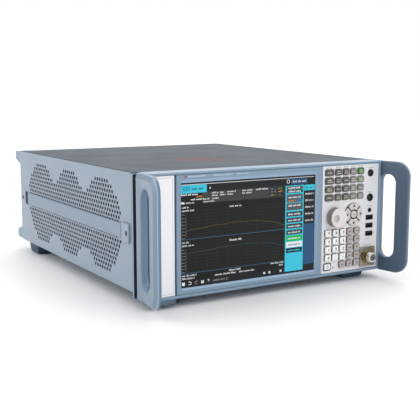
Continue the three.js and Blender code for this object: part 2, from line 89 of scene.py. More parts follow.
class Finish:
    """A Principled material whose colour, roughness and relief come from noise in object space."""

    def __init__(self, name, colour, roughness, mottle=0.05, patch=14, uneven=0.06, grain=1400,
                 relief=0.05, stretch=(1, 1, 1), sockets=()):
        self.material = bpy.data.materials.new(name)
        self.material.use_nodes = True
        self.tree = self.material.node_tree
        self.shader = self.tree.nodes["Principled BSDF"]
        self.place = self.tree.nodes.new("ShaderNodeTexCoord").outputs["Object"]
        for key, value in dict(sockets).items():
            self.shader.inputs[key].default_value = value
        light, dark = ((*(min(1.0, c * (1 + sign * mottle)) for c in srgb(*colour)[:3]), 1.0)
                       for sign in (1, -1))
        self.base = self.blend(self.noise(patch, 4.0), dark, light)
        self.link(self.base, "Base Color")
        gloss = self.node("ShaderNodeMapRange", Value=self.noise(patch * 3, 5.0), From_Min=0.25, From_Max=0.75,
                          To_Min=max(0.02, roughness - uneven), To_Max=min(1.0, roughness + uneven))
        self.link(gloss.outputs[0], "Roughness")
        if relief:
            height = self.noise(grain, 2.0, stretch)
            bump = self.node("ShaderNodeBump", Strength=relief, Distance=0.0004, Height=height)
            self.link(bump.outputs[0], "Normal")

    def feed(self, socket, value):
        if isinstance(value, bpy.types.NodeSocket):
            self.tree.links.new(value, socket)
        else:
            socket.default_value = value

    def node(self, kind, **inputs):
        node = self.tree.nodes.new(kind)
        for key, value in inputs.items():
            self.feed(node.inputs[key.replace("_", " ")], value)
        return node

    def link(self, output, socket):
        self.tree.links.new(output, self.shader.inputs[socket])

    def noise(self, scale, detail, stretch=(1, 1, 1)):
        spread = self.node("ShaderNodeMapping", Vector=self.place, Scale=stretch).outputs[0]
        return self.node("ShaderNodeTexNoise", Vector=spread, Scale=scale, Detail=detail).outputs["Fac"]

    def blend(self, factor, first, second):
        mix = self.tree.nodes.new("ShaderNodeMix")
        mix.data_type = "RGBA"
        for number, value in ((0, factor), (6, first), (7, second)):
            self.feed(mix.inputs[number], value)
        return mix.outputs[2]


def family(usual_roughness, fixed_sockets, **usual):
    """A way of making materials that share their texture."""
    def build(name, colour, roughness=usual_roughness, sockets=(), **settings):
        merged = {**fixed_sockets, **dict(sockets)}
        return Finish(name, colour, roughness, sockets=merged, **{**usual, **settings}).material
    return build


# Powder-coated sheet or casting, moulded plastic, and bare or plated metal.
paint = family(0.42, {"Coat Weight": 0.25, "Coat Roughness": 0.3}, mottle=0.035, patch=6, grain=1500, relief=0.06)
plastic = family(0.5, {}, mottle=0.03, patch=30, grain=2600, relief=0.08)
metal = family(0.3, {"Metallic": 1.0}, mottle=0.08, patch=60, grain=900, relief=0.1)
UNDER_GLASS = {"Coat Weight": 0.1, "Coat Roughness": 0.08, "Specular IOR Level": 0.15}


def glow(name, colour, strength=0.85):
    """A lit area of the display, under its glass."""
    sockets = {"Emission Color": srgb(*colour), "Emission Strength": strength, **UNDER_GLASS}
    dim = tuple(channel * 0.3 for channel in colour)
    return Finish(name, dim, 0.25, mottle=0.08, patch=120, relief=0, sockets=sockets).material


def display_glass():
    sockets = {**UNDER_GLASS, "Emission Color": srgb(30, 31, 32), "Emission Strength": 0.2}
    return Finish("display_glass", (10, 11, 12), 0.12, mottle=0.1, patch=20, uneven=0.05, relief=0,
                  sockets=sockets).material


def board():
    """Green solder mask crossed by lighter copper tracks."""
    finish = Finish("solder_mask", (24, 86, 52), 0.35, mottle=0.1, patch=40, relief=0)
    tracks = finish.node("ShaderNodeTexBrick", Vector=finish.place, Color1=(0.01, 0.09, 0.04, 1),
                         Color2=(0.015, 0.12, 0.06, 1), Mortar=(0.05, 0.26, 0.12, 1), Scale=130.0)
    finish.link(finish.blend(finish.noise(70, 2.0), finish.base, tracks.outputs[0]), "Base Color")
    return finish.material


M = {
    "case": paint("case_paint", (131, 147, 163)),
    "frame": paint("frame_paint", (120, 145, 167), 0.38),
    # painted highlight: a lighter copy of the frame paint, for the bright band on each handle's front edge and the
    # sides of the display window
    "lip": paint("frame_paint_lip", (150, 176, 204), 0.3),
    "handle": paint("handle_paint", (114, 133, 151), 0.36),
    # painted shade: darker paint for the handles' inner faces; the strap screw heads take it as their own dark slate
    "inner": paint("handle_inner_paint", (74, 94, 114), 0.4),
    # painted shade: a mid tone for the handles' front edges and the walls of their finger slots
    "edge": paint("handle_edge_paint", (98, 121, 144), 0.4),
    "emblem": plastic("emblem_print", (98, 38, 50), 0.6),
    # painted shade: a darker slate on two parts of the frame casting, the recessed post beside the display and the
    # lug under the filler strip
    "slate": paint("slate_paint", (76, 96, 116), 0.45),
    # painted shade: the top cover is painted much darker than the case, for the shade on the top
    "top": paint("top_paint", (48, 60, 74), 0.6, mottle=0.05, sockets={"Coat Weight": 0.0}),
    "strap": plastic("strap_skin", (129, 145, 161), grain=700, relief=0.1),
    "bumper": plastic("bumper_plastic", (134, 151, 168)),
    "foot": plastic("foot_rubber", (54, 74, 94), 0.62, relief=0.15),
    "panel": paint("panel_white", (222, 222, 225), 0.45),
    "strip": paint("strip_white", (236, 236, 240), 0.4),
    "white": plastic("key_white", (238, 238, 238), 0.42),
    "nav": plastic("arrow_key_plastic", (206, 198, 199), 0.45),
    # painted shade: the grey seen in the gaps between the arrow keys
    "gap": plastic("arrow_pad_rubber", (112, 108, 108), 0.6),
    # painted shade: a darker grey for the sides of the number and arrow keys
    "skirt": plastic("key_skirt", (118, 112, 110)),
    "knob": plastic("knob_plastic", (218, 211, 212), 0.4),
    # painted shade: the knob's dimple, darker than its face
    "bowl": plastic("knob_bowl_plastic", (186, 179, 180), 0.35),
    # painted shade: the knob's side, darker than its face
    "knob_side": plastic("knob_side_plastic", (126, 120, 120), 0.45),
    "grey": plastic("key_grey", (172, 164, 162), 0.45),
    "dark": plastic("key_dark", (84, 81, 77), 0.45),
    "mid": plastic("key_middle", (128, 126, 121), 0.45),
    "green": plastic("key_green", (62, 108, 55), 0.45),
    "sage": plastic("key_sage", (118, 130, 108), 0.45),
    "black": plastic("black_plastic", (26, 28, 31), 0.45),
    # painted shade: a near-black sheet seen through the side perforations
    "filter": plastic("dust_filter", (14, 19, 26), 0.9, grain=420, relief=0.6),
    # painted shade: near-black for the groove behind the handles, the strap fitting's mouth and the rings round the
    # strap screws
    "shade": plastic("dark_recess", (22, 30, 40), 0.7),
    "ink_dark": plastic("print_dark", (44, 46, 52), 0.6),
    "ink_grey": plastic("print_grey", (128, 128, 130), 0.6),
    "ink_pale": plastic("print_pale", (206, 216, 228), 0.6),
    "ink_red": plastic("print_red", (150, 62, 60), 0.55),
    "ink_key": plastic("print_key", (214, 212, 206), 0.6),
    "steel": metal("bare_steel", (170, 172, 174), 0.32),
    "zinc": metal("zinc_sheet", (150, 154, 158), 0.42, patch=35, mottle=0.14),
    "flange": metal("flange_metal", (150, 143, 130), 0.36, grain=500, stretch=(1, 1, 12), relief=0.12),
    "nickel": metal("connector_nickel", (206, 205, 200), 0.2),
    "gold": metal("gold_plate", (150, 140, 96)),
    "board": board(),
    "glass": display_glass(),
    "lamp": glow("pilot_lamp", (120, 128, 120), 0.25),
    "amber": glow("status_amber", (210, 120, 60), 0.6),
}
INSIDE = {"glass": ("display_module",), "board": ("keypad_board", "main_board"),
          "zinc": ("chassis_tray", "power_supply", "rf_module"), "steel": ("encoder_body", "encoder_shaft"),
          "black": ("fan_housing", "fan_rotor")}
for key, nodes in INSIDE.items():
    for node in nodes:
        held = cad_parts[node].data.materials
        held.clear()
        held.append(M[key])


# ------------------------------------------------------------------ mesh building
def FRONT(u, v, depth):
    return (u, depth, v)


def TOP(u, v, depth):
    return (u, v, depth)


def side_on(side):
    """Drawn in y and z, with depth as the distance from the middle plane."""
    return lambda u, v, depth: (side * depth, u, v)


class Shape:
    """Vertices in millimetres, and faces with the number of the material that each takes."""

    def __init__(self):
        self.verts = []
        self.faces = []

    def vertex(self, xyz):
        self.verts.append(xyz)
        return len(self.verts) - 1

    def face(self, corners, material=0):
        self.faces.append((list(corners), material))


def rounded(x0, x1, z0, z1, radius, steps=4):
    """A rounded rectangle, as a function of how far it is grown outwards."""
    def outline(grow):
        a0, a1, b0, b1 = x0 - grow, x1 + grow, z0 - grow, z1 + grow
        r = min(max(radius + grow, 0.05), (a1 - a0) / 2 - 1e-3, (b1 - b0) / 2 - 1e-3)
        corners = ((a1 - r, b1 - r), (a0 + r, b1 - r), (a0 + r, b0 + r), (a1 - r, b0 + r))
        return [(u + r * math.cos(math.radians(90 * (quarter + i / steps))),
                 v + r * math.sin(math.radians(90 * (quarter + i / steps))))
                for quarter, (u, v) in enumerate(corners) for i in range(steps + 1)]
    return outline


def centred(x, z, width, height, radius, steps=4):
    return rounded(x - width / 2, x + width / 2, z - height / 2, z + height / 2, radius, steps)


def around(x, z, gap, radius):
    """A rounded rectangle that leaves a gap round two ranges, or lies inside them if it is negative."""
    return rounded(x[0] - gap, x[1] + gap, z[0] - gap, z[1] + gap, radius)


def circle(x, z, radius, steps, start=0.0):
    return [(x + radius * math.cos(2 * math.pi * i / steps + start),
             z + radius * math.sin(2 * math.pi * i / steps + start)) for i in range(steps)]


def disc(x, z, radius, steps=32):
    return lambda grow: circle(x, z, max(radius + grow, 0.02), steps)


def fixed(points):
    """An outline that keeps its size."""
    return lambda grow: points


def scaled(points, centre):
    """An outline that grows by a ninth of its size for each millimetre."""
    def outline(grow):
        return [tuple(c + (value - c) * (1 + grow / 9) for value, c in zip(corner, centre)) for corner in points]
    return outline


def rim(near, far, near_round=0.0, far_round=0.0, steps=3):
    """Depths and growths from a plate's near face to its far face, with rounded edges."""
    sign = 1 if far > near else -1
    arc = [math.radians(90 * i / steps) for i in range(steps + 1)]
    first = [(near + sign * near_round * (1 - math.cos(a)), -near_round * (1 - math.sin(a))) for a in arc]
    last = [(far - sign * far_round * (1 - math.cos(a)), -far_round * (1 - math.sin(a))) for a in reversed(arc)]
    pairs = (first if near_round else [(near, 0)]) + (last if far_round else [(far, 0)])
    return [depth for depth, _ in pairs], [grow for _, grow in pairs]


def plate(shape, outer, profile, holes=(), put=FRONT, material=0, walls=(), first=None, lining=None):
    """A closed plate. A hole shrinks where the plate grows, or it is (outline, its own values).

    The near face may take its own material, first, and the sides of the holes another, lining.
    walls gives the outer side a material step by step.
    """
    depths, grows = profile
    loops = [(outer, grows)]
    for hole in holes:
        loops.append((hole, [-g for g in grows]) if callable(hole) else hole)
    stacks = [[outline(value) for value in values] for outline, values in loops]
    numbered = []
    for number, stack in enumerate(stacks):
        rings = [[shape.vertex(put(u, v, depth)) for u, v in ring] for ring, depth in zip(stack, depths)]
        numbered.append(rings)
        for step, (near, far) in enumerate(zip(rings, rings[1:])):
            chosen = lining if number else walls[step] if step < len(walls) else None
            for i in range(len(near)):
                j = (i + 1) % len(near)
                shape.face((near[i], near[j], far[j], far[i]), material if chosen is None else chosen)
    for level in (0, -1):
        flat = [number for rings in numbered for number in rings[level]]
        chosen = first if level == 0 and first is not None else material
        for triangle in tessellate_polygon([[Vector((u, v, 0)) for u, v in stack[level]] for stack in stacks]):
            shape.face([flat[i] for i in triangle], chosen)


def turn(shape, profile, x, z, put=FRONT, segments=32, material=0, closed=False):
    """A profile of (radius, depth) turned about the line through x, z."""
    rings = []
    for radius, depth in profile:
        ring = circle(x, z, radius, segments) if radius > 1e-6 else [(x, z)]
        rings.append([shape.vertex(put(u, v, depth)) for u, v in ring])
    pairs = list(zip(rings, rings[1:])) + ([(rings[-1], rings[0])] if closed else [])
    for near, far in pairs:
        for i in range(segments):
            j = (i + 1) % segments
            corners = [near[i % len(near)], near[j % len(near)], far[j % len(far)], far[i % len(far)]]
            corners = list(dict.fromkeys(corners))
            if len(corners) > 2:
                shape.face(corners, material)


def washer(shape, inner, outer, near, far, x, z, segments, material=0):
    turn(shape, [(inner, near), (outer, near), (outer, far), (inner, far)], x, z,
         segments=segments, material=material, closed=True)


def box(shape, corners, material=0):
    numbers = [shape.vertex(corner) for corner in corners]
    for quad in ((0, 1, 2, 3), (4, 5, 6, 7), (0, 1, 5, 4), (1, 2, 6, 5), (2, 3, 7, 6), (3, 0, 4, 7)):
        shape.face([numbers[i] for i in quad], material)


def bar(shape, u0, u1, v0, v1, near, far, material=0):
    box(shape, [(u, d, v) for d in (near, far) for u, v in ((u0, v0), (u1, v0), (u1, v1), (u0, v1))], material)


chance = random.Random(11)


def greek(shape, u0, u1, v, height, near, far, material=0):
    """A line of print that says nothing: small blocks in words of uneven length."""
    u, letters = u0, chance.randint(3, 7)
    while u < u1 - height * 0.4:
        if letters == 0:
            letters = chance.randint(3, 7)
            u += height * 0.55
            continue
        rise, low = chance.choice((0.72, 0.72, 1.0)), v - height / 2
        bar(shape, u, min(u + height * 0.5, u1), low, low + height * rise, near, far, material)
        u += height * 0.72
        letters -= 1


glyph_store = {}


def glyph(text):
    """A digit as flat points and faces, one unit high, drawn once."""
    if text not in glyph_store:
        curve = bpy.data.curves.new("glyph", "FONT")
        curve.body, curve.align_x, curve.align_y, curve.extrude = text, "CENTER", "CENTER", 0.5
        curve.resolution_u, curve.offset = 3, 0.035
        drawn = bpy.data.objects.new("glyph", curve)
        scene.collection.objects.link(drawn)
        bpy.context.view_layer.update()
        mesh = bpy.data.meshes.new_from_object(drawn.evaluated_get(bpy.context.evaluated_depsgraph_get()))
        glyph_store[text] = ([tuple(v.co) for v in mesh.vertices], [tuple(p.vertices) for p in mesh.polygons])
        bpy.data.objects.remove(drawn)
        bpy.data.curves.remove(curve)
        bpy.data.meshes.remove(mesh)
    return glyph_store[text]


def write(shape, text, u, v, size, near, far):
    points, faces = glyph(text)
    middle, half = (near + far) / 2, (far - near) / 2
    numbers = [shape.vertex((u + x * size, middle + 2 * z * half, v + y * size)) for x, y, z in points]
    for face in faces:
        shape.face([numbers[i] for i in face])


def make(name, shape, materials, body="case", slot=None, stands_for=(), sharp=34, adjust=None, blend=None):
    """Turns a shape into a piece in metres that rides on a body, or, given blend, is left in world space on no body.
    """
    bm = bmesh.new()
    verts = [bm.verts.new(point(*xyz)) for xyz in shape.verts]
    for corners, number in shape.faces:
        if len(set(corners)) > 2:
            face = bm.faces.new([verts[i] for i in corners])
            face.material_index = number
    if adjust:
        adjust(bm)
    bmesh.ops.remove_doubles(bm, verts=bm.verts, dist=1e-7)
    bmesh.ops.recalc_face_normals(bm, faces=bm.faces)
    mesh = bpy.data.meshes.new(name)
    bm.to_mesh(mesh)
    bm.free()
    for key in ([materials] if isinstance(materials, str) else materials):
        mesh.materials.append(M[key])
    mesh.shade_smooth()
    mesh.set_sharp_from_angle(angle=math.radians(sharp))
    made = bpy.data.objects.new(name, mesh)
    scene.collection.objects.link(made)
    made.modifiers.new("even_shading", "WEIGHTED_NORMAL").keep_sharp = True
    if blend:
        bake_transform(made)
    else:
        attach(made, body)
    if stands_for:
        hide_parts(stands_for)


def make_plate(name, materials, outer, profile, holes=(), put=FRONT, **settings):
    """A piece that is one plate."""
    shape = Shape()
    plate(shape, outer, profile, holes, put)
    make(name, shape, materials, **settings)


def make_turned(name, material, profile, x, z, segments, **settings):
    """A piece that is one turned body."""
    shape = Shape()
    turn(shape, profile, x, z, segments=segments)
    make(name, shape, material, **settings)


def screw(shape, u, v, surface, outward, radius=2.6, put=FRONT, materials=(0, 1)):
    """A pan-head screw with a cross recess, standing on a surface at that depth."""
    arm, reach, height = radius * 0.16, radius * 0.62, radius * 0.42
    cross = [(u + a, v + b) for a, b in ((reach, arm), (arm, arm), (arm, reach), (-arm, reach), (-arm, arm),
                                         (-reach, arm), (-reach, -arm), (-arm, -arm), (-arm, -reach),
                                         (arm, -reach), (arm, -arm), (reach, -arm))]
    head = rim(surface + outward * height, surface, radius * 0.3)
    plate(shape, disc(u, v, radius, 20), head, [fixed(cross)], put, materials[0])
    plate(shape, fixed(cross), rim(surface + outward * 0.25, surface), (), put, materials[1])


# ------------------------------------------------------------------ cast front frame
(_, HALF), (_, frame_back), (lug_z, frame_top) = span("front_frame")
RING_HALF = HALF - 10.3
FLANGE_FRONT = 28.0
UNDERSIDE = 1.4
FIT = 0.3
handle_y = span("handle_right")[1]
strip_x, strip_y, strip_z = span("filler_panel")
bezel_x, bezel_y, bezel_z = span("screen_bezel")
panel_x, panel_y, panel_z = span("key_panel")
post_x = (strip_x[1] + FIT, bezel_x[0] - FIT)

casting = Shape()
plate(casting, rounded(-RING_HALF, RING_HALF, UNDERSIDE, frame_top, 2.2), rim(0, FLANGE_FRONT + 0.5, 1.3),
      [around((strip_x[0], panel_x[1]), panel_z, FIT, 1.6)])
# The recessed post between the filler strip and the bezel is darker slate as painted shade.
plate(casting, rounded(*post_x, panel_z[0] - FIT - 1, panel_z[1] + FIT + 1, 0.3), rim(2.4, 20, 0.3), (), FRONT, 1)
# The flange's front face and first bevel, and a bar along each side between handle and flange, are near-black as
# painted shade in the groove there.
plate(casting, rounded(-HALF, HALF, 1.7, 172, 2.5), rim(FLANGE_FRONT, frame_back, 0.9, 0.5),
      [rounded(-200, 200, 16, 166, 3)], FRONT, 2, walls=(3,), first=3)
for side in (-1, 1):
    groove_x = sorted((side * (RING_HALF - 1), side * (RING_HALF + 0.2)))
    bar(casting, *groove_x, 4, frame_top - 4, handle_y[1] + 0.2, FLANGE_FRONT - 0.1, 3)
# The lug under the filler strip takes the same darker slate as painted shade.
plate(casting, rounded(-RING_HALF, post_x[0] + 1, lug_z, UNDERSIDE + 1, 1.6), rim(0.1, 16.8, 1.0, 1.0),
      (), FRONT, 1)
make("front_frame_casting", casting, ("frame", "slate", "case", "shade"), slot="frame_paint",
     stands_for="front_frame")

# ------------------------------------------------------------------ handles
FLARE = math.tan(math.radians(9))
HANDLE_INNER = HALF - 10
HANDLE_CORNER = 23.0
FINGER_SLOT = rounded(-26.0, 2.0, 23.0, 153.0, 13, 10)


def handle_outline(grow):
    """Square behind, with two large round corners in front."""
    steps = 12
    back, front = handle_y[1] + grow, handle_y[0] - grow
    bottom, top, radius = -grow, frame_top + grow, max(HANDLE_CORNER + grow, 1)
    points = [(back, bottom), (back, top)]
    for v, start in ((top - radius, 90), (bottom + radius, 180)):
        points += [(front + radius + radius * math.cos(math.radians(start + 90 * i / steps)),
                    v + radius * math.sin(math.radians(start + 90 * i / steps))) for i in range(steps + 1)]
    return points


def flare(side):
    """Folds a handle outwards in front of the frame."""
    def adjust(bm):
        fold = point(0, 0, 0).y
        geometry = bm.verts[:] + bm.edges[:] + bm.faces[:]
        bmesh.ops.bisect_plane(bm, geom=geometry, plane_co=(0, fold, 0), plane_no=(0, 1, 0))
        for vert in bm.verts:
            vert.co.x += side * FLARE * max(0.0, fold - vert.co.y)
    return adjust


SIDES = (("left", -1), ("right", 1))
for name, side in SIDES:
    grip = Shape()
    depths = [HANDLE_INNER, HANDLE_INNER + 0.6, HANDLE_INNER + 1.8,
              HALF - 5.2, HALF - 4.2, HALF - 0.7, HALF - 0.2, HALF]
    grows = [-1.8, -0.7, 0, 0, -0.7, -4.9, -5.6, -6.2]
    slot_grows = [1.4, 0.4, 0, 0, 0.2, 2.2, 3.2, 4.4]
    # Painted light on each handle: its inner face and inner bevels take a darker paint as painted shade, its front
    # edge and finger-slot walls a mid tone as painted shade, and a narrow band before the outer chamfer a lighter
    # paint as painted highlight.
    plate(grip, handle_outline, (depths, grows), [(FINGER_SLOT, slot_grows)], side_on(side),
          first=1, walls=(1, 1, 2, 3), lining=2)
    make(f"handle_{name}_grip", grip, ("handle", "inner", "edge", "lip"), slot="frame_paint",
         stands_for=f"handle_{name}", adjust=flare(side), sharp=24)

# ------------------------------------------------------------------ covers
cover_x, cover_y, cover_z = span("top_cover")
bottom_x, _, bottom_z = span("bottom_cover")
side_x, side_y, side_z = span("side_cover_right")
SKIN = side_x[1]


def channel(x, plate_z, reach, sheet=1.5, radius=1.6, steps=4):
    """The outline of a U-shaped cover with rounded outer corners."""
    down = 1 if reach > 0 else -1
    end, inner = plate_z + reach, plate_z + down * sheet
    arc = [(radius * math.sin(a), plate_z + down * radius * (1 - math.cos(a)))
           for a in (math.radians(90 * i / steps) for i in range(steps + 1))]
    points = [(x[1] - radius + along, v) for along, v in arc]
    points += [(x[1], end), (x[1] - sheet, end), (x[1] - sheet, inner), (x[0] + sheet, inner),
               (x[0] + sheet, end), (x[0], end)]
    return fixed(points + [(x[0] + radius - along, v) for along, v in reversed(arc)])


# The top cover takes the darker top paint, which is painted shade on the top.
make_plate("top_cover_sheet", "top", channel(cover_x, cover_z[1], -14), rim(*cover_y),
           slot="top_paint", stands_for="top_cover")
make_plate("bottom_cover_sheet", "case", channel(bottom_x, bottom_z[0], 14), rim(*cover_y),
           slot="case_paint", stands_for="bottom_cover")

HOLE_START, HOLE_PITCH, ROW_PITCH, ROWS, HOLE_RADIUS, HOLE_SIDES = 132.65, 8.52, 6.7, 20, 2.9, 14
FIELD_MIDDLE, FIELD_RADIUS = 90.9, 68.65
SHEET = 0.9
STRAP_ROWS = range(8, 12)
CELLS_BEFORE, CELLS_AFTER = 8, 38


def is_hole(y, z, row):
    """True inside three overlapping round fields, and clear of the strap's ends."""
    centres = [HOLE_START + 15 * HOLE_PITCH * i for i in range(3)]
    inside = any(math.hypot(y - c, z - FIELD_MIDDLE) <= FIELD_RADIUS for c in centres)
    between = centres[0] <= y <= centres[-1] and -44 <= z - FIELD_MIDDLE <= 37
    return (inside or between) and not (row in STRAP_ROWS and not 76 < y < 444)


def perforated(side):
    """A side cover as brick-like cells, each with a round hole, welded to a plain border."""
    shape, known = Shape(), {}

    def corner(y, z):
        key = (round(y, 3), round(z, 3))
        if key not in known:
            known[key] = shape.vertex((side * SKIN, y, z))
        return known[key]

    half = HOLE_PITCH / 2
    low, high = FIELD_MIDDLE - ROWS / 2 * ROW_PITCH, FIELD_MIDDLE + ROWS / 2 * ROW_PITCH
    y_low = HOLE_START - CELLS_BEFORE * HOLE_PITCH - half
    y_high = HOLE_START + CELLS_AFTER * HOLE_PITCH + half
    for row in range(ROWS):
        z = low + (row + 0.5) * ROW_PITCH
        z0, z1 = z - ROW_PITCH / 2, z + ROW_PITCH / 2
        shift = half if row % 2 else 0.0
        for column in range(-CELLS_BEFORE, CELLS_AFTER + (0 if row % 2 else 1)):
            y = HOLE_START + column * HOLE_PITCH + shift
            border = [(y - half, z0), (y, z0), (y + half, z0), (y + half, z1), (y, z1), (y - half, z1)]
            ring = [corner(*p) for p in border]
            if not is_hole(y, z, row):
                shape.face(ring)
                continue
            edge = circle(y, z, HOLE_RADIUS, HOLE_SIDES, math.pi / HOLE_SIDES)
            numbers = [shape.vertex((side * SKIN, *p)) for p in edge]
            nearest = [min(range(6), key=lambda b: math.dist(border[b], p)) for p in edge]
            for i in range(HOLE_SIDES):
                j, step = (i + 1) % HOLE_SIDES, nearest[i]
                shape.face((numbers[i], numbers[j], ring[step]))
                while step != nearest[j]:
                    following = (step + 1) % 6
                    shape.face((ring[step], numbers[j], ring[following]))
                    step = following
        if row % 2:
            for y0 in (y_low, y_high - half):
                shape.face([corner(y0, z0), corner(y0 + half, z0), corner(y0 + half, z1), corner(y0, z1)])
    steps = round((y_high - y_low) / half)
    inner = [(y_low + i * half, low) for i in range(steps)]
    inner += [(y_high, low + i * ROW_PITCH) for i in range(ROWS)]
    inner += [(y_high - i * half, high) for i in range(steps)]
    inner += [(y_low, high - i * ROW_PITCH) for i in range(ROWS)]
    outer = rounded(*side_y, *side_z, 1.2)(0)
    flat = [corner(*p) for p in outer + inner]
    for triangle in tessellate_polygon([[Vector((*p, 0)) for p in ring] for ring in (outer, inner)]):
        shape.face([flat[i] for i in triangle])
    count, uses = len(shape.verts), {}
    for _, y, z in shape.verts[:]:
        shape.vertex((side * (SKIN - SHEET), y, z))
    for corners, _ in shape.faces[:]:
        shape.face([number + count for number in corners])
        for edge in zip(corners, (*corners[1:], corners[0])):
            uses[frozenset(edge)] = uses.get(frozenset(edge), 0) + 1
    for edge in [tuple(pair) for pair, used in uses.items() if used == 1 and len(pair) == 2]:
        shape.face((edge[0], edge[1], edge[1] + count, edge[0] + count))
    return shape


for name, side in SIDES:
    make(f"side_cover_{name}_sheet", perforated(side), "case", slot="case_paint",
         stands_for=f"side_cover_{name}")
    # A near-black sheet just inside each side cover makes the holes dark as painted shade.
    make_plate(f"side_cover_{name}_dust_filter", "filter", rounded(58, 463, 22, 160, 8),
               rim(SKIN - 2.0, SKIN - SHEET - 0.3), (), side_on(side), slot="black_plastic")

# ------------------------------------------------------------------ carrying straps
strap_x, strap_y, strap_z = span("carry_strap_right")
STRAP_MIDDLE, STRAP_Z = mid(strap_y), mid(strap_z)
STRAP_FRONT, STRAP_REAR = 60.6, strap_y[1] + 9
STRAP_THICKNESS, STRAP_CROWN = 2.4, 1.03
SUNK = SKIN - 0.9
PAD_Y, PAD_Z, FITTING_Y, FITTING_Z = (36.2, 60.2), (76.5, 104.0), (461.0, 496.0), (77.0, 105.0)
MOUTH_Y, MOUTH_Z = (463.0, 476.4), (79.8, 102.2)
SCREWS_Y, SCREWS_Z = (43.3, 489.3), 90


def strap_half(side, y_start):
    """Half a strap as a crowned band, which falls into its slot at the rear, over a flat back."""
    shape, count = Shape(), 44
    section = [(-0.5, 0.0), (-0.5, 0.55), (-0.475, 0.82), (-0.43, 0.96), (-0.3, 1.0), (0.0, STRAP_CROWN),
               (0.3, 1.0), (0.43, 0.96), (0.475, 0.82), (0.5, 0.55), (0.5, 0.0)]
    rings = []
    for i in range(count + 1):
        y = y_start + (STRAP_MIDDLE - y_start) * i / count
        ease = min(1.0, max(0.0, (STRAP_REAR - y) / 17))
        face = SUNK + (strap_x[1] - SUNK) * ease * ease * (3 - 2 * ease) - STRAP_THICKNESS
        height = (strap_z[1] - strap_z[0]) * (0.9 + 0.1 * min(1.0, max(0.0, (STRAP_REAR - y) / 14)))
        rings.append([shape.vertex((side * (face + STRAP_THICKNESS * depth / STRAP_CROWN), y, STRAP_Z + v * height))
                      for v, depth in section])
    for near, far in zip(rings, rings[1:]):
        for i in range(len(near)):
            j = (i + 1) % len(near)
            shape.face((near[i], near[j], far[j], far[i]))
    shape.face(rings[0])
    shape.face(rings[-1])
    return shape


for name, side in SIDES:
    put = side_on(side)
    for half, y_start, replaced in (("front", STRAP_FRONT, f"carry_strap_{name}"), ("rear", STRAP_REAR, ())):
        limits = [point(side * SKIN, y, STRAP_Z) for y in (y_start, STRAP_MIDDLE)]
        make(f"carry_strap_{name}_{half}", strap_half(side, y_start), "strap", f"strap_{name}", "strap_rubber",
             replaced, blend=limits, sharp=50)
    fittings, screws = Shape(), Shape()
    seat = SKIN - 0.1
    plate(fittings, rounded(*PAD_Y, *PAD_Z, 3.5), rim(strap_x[1] - 0.1, seat, 1.4), (), put)
    plate(fittings, rounded(*FITTING_Y, *FITTING_Z, 5), rim(SKIN + 0.8, seat, 0.6),
          [rounded(*MOUTH_Y, *MOUTH_Z, 2.2)], put)
    # A near-black plate in the rear fitting's mouth and a near-black ring round each screw are painted shade.
    plate(fittings, around(MOUTH_Y, MOUTH_Z, 0.4, 2.2), rim(SKIN + 0.06, seat), (), put, 1)
    for screw_y, surface in zip(SCREWS_Y, (strap_x[1] - 0.1, SKIN + 0.8)):
        plate(fittings, disc(screw_y, SCREWS_Z, 3.6, 24), rim(surface + 0.03, surface - 0.3), (), put, 1)
        screw(screws, screw_y, SCREWS_Z, surface, 1, 2.6, put)
    make(f"strap_{name}_end_fittings", fittings, ("case", "shade"), slot="case_paint")
    make(f"strap_{name}_screws", screws, ("inner", "black"), slot="bare_steel")

# ------------------------------------------------------------------ feet and rear bumpers
FOOT_Y = {"front": 40.0, "rear": 467.0}
PAD = 38.0
rear_x, rear_y, rear_z = span("rear_panel")
BACK = rear_y[1]
for name in ("front_left", "front_right", "rear_left", "rear_right"):
    (x0, x1), _, (z0, z1) = span(f"foot_{name}")
    in_front = name.startswith("front")
    cx, cy, width = mid((x0, x1)), FOOT_Y[name.split("_")[0]], x1 - x0
    shape = Shape()
    plate(shape, centred(cx, cy, width, width, 5), ([z0 + 10.5 if in_front else z1, z0 + 5.0, z0 + 1.4],
                                                    [0, -2.4, -3.4]), (), TOP)
    if in_front:
        plate(shape, rounded(x0 + 1, x1 - 1, 33, cy + width / 2, 4), rim(z1, z0 + 9, 0.5), (), TOP)
    plate(shape, centred(cx, cy, PAD, PAD, 4), rim(z0, z0 + 2.4, 1.0), [disc(cx, cy, 5.5, 24)], TOP)
    plate(shape, disc(cx, cy, 5.6, 24), rim(z0 + 1.6, z0 + 2.6), (), TOP)
    make(f"foot_{name}_block", shape, "foot", slot="foot_rubber", stands_for=f"foot_{name}")

for name in ("lower_left", "lower_right", "upper_left", "upper_right"):
    x, y, z = span(f"rear_bumper_{name}")
    shape, rise, root = Shape(), z[1] - z[0], side_y[1] + 0.3
    edge, inwards = (z[0], 1) if name.startswith("lower") else (z[1], -1)
    profile = [(root, 0.2), (y[1] - 1.6, 1.0), (y[1], 2.6), (y[1], rise - 10.6), (y[1] - 1.2, rise - 8.2),
               (root, rise)]
    profile = [(u, edge + inwards * v) for u, v in profile]
    middle = [sum(values) / 6 for values in zip(*profile)]
    put = side_on(-1 if name.endswith("left") else 1)
    inner, outer = sorted(abs(value) for value in x)
    plate(shape, scaled(profile, middle), rim(inner, outer, 1.2, 0.9), (), put)
    root_z = sorted((edge + inwards * 4, edge + inwards * (rise - 4)))
    plate(shape, rounded(BACK + 0.3, root + 2, *root_z, 0.5), rim(inner + 4, outer - 4.7), (), put)
    make(f"rear_bumper_{name}_block", shape, "bumper", slot="bumper_plastic",
         stands_for=f"rear_bumper_{name}")

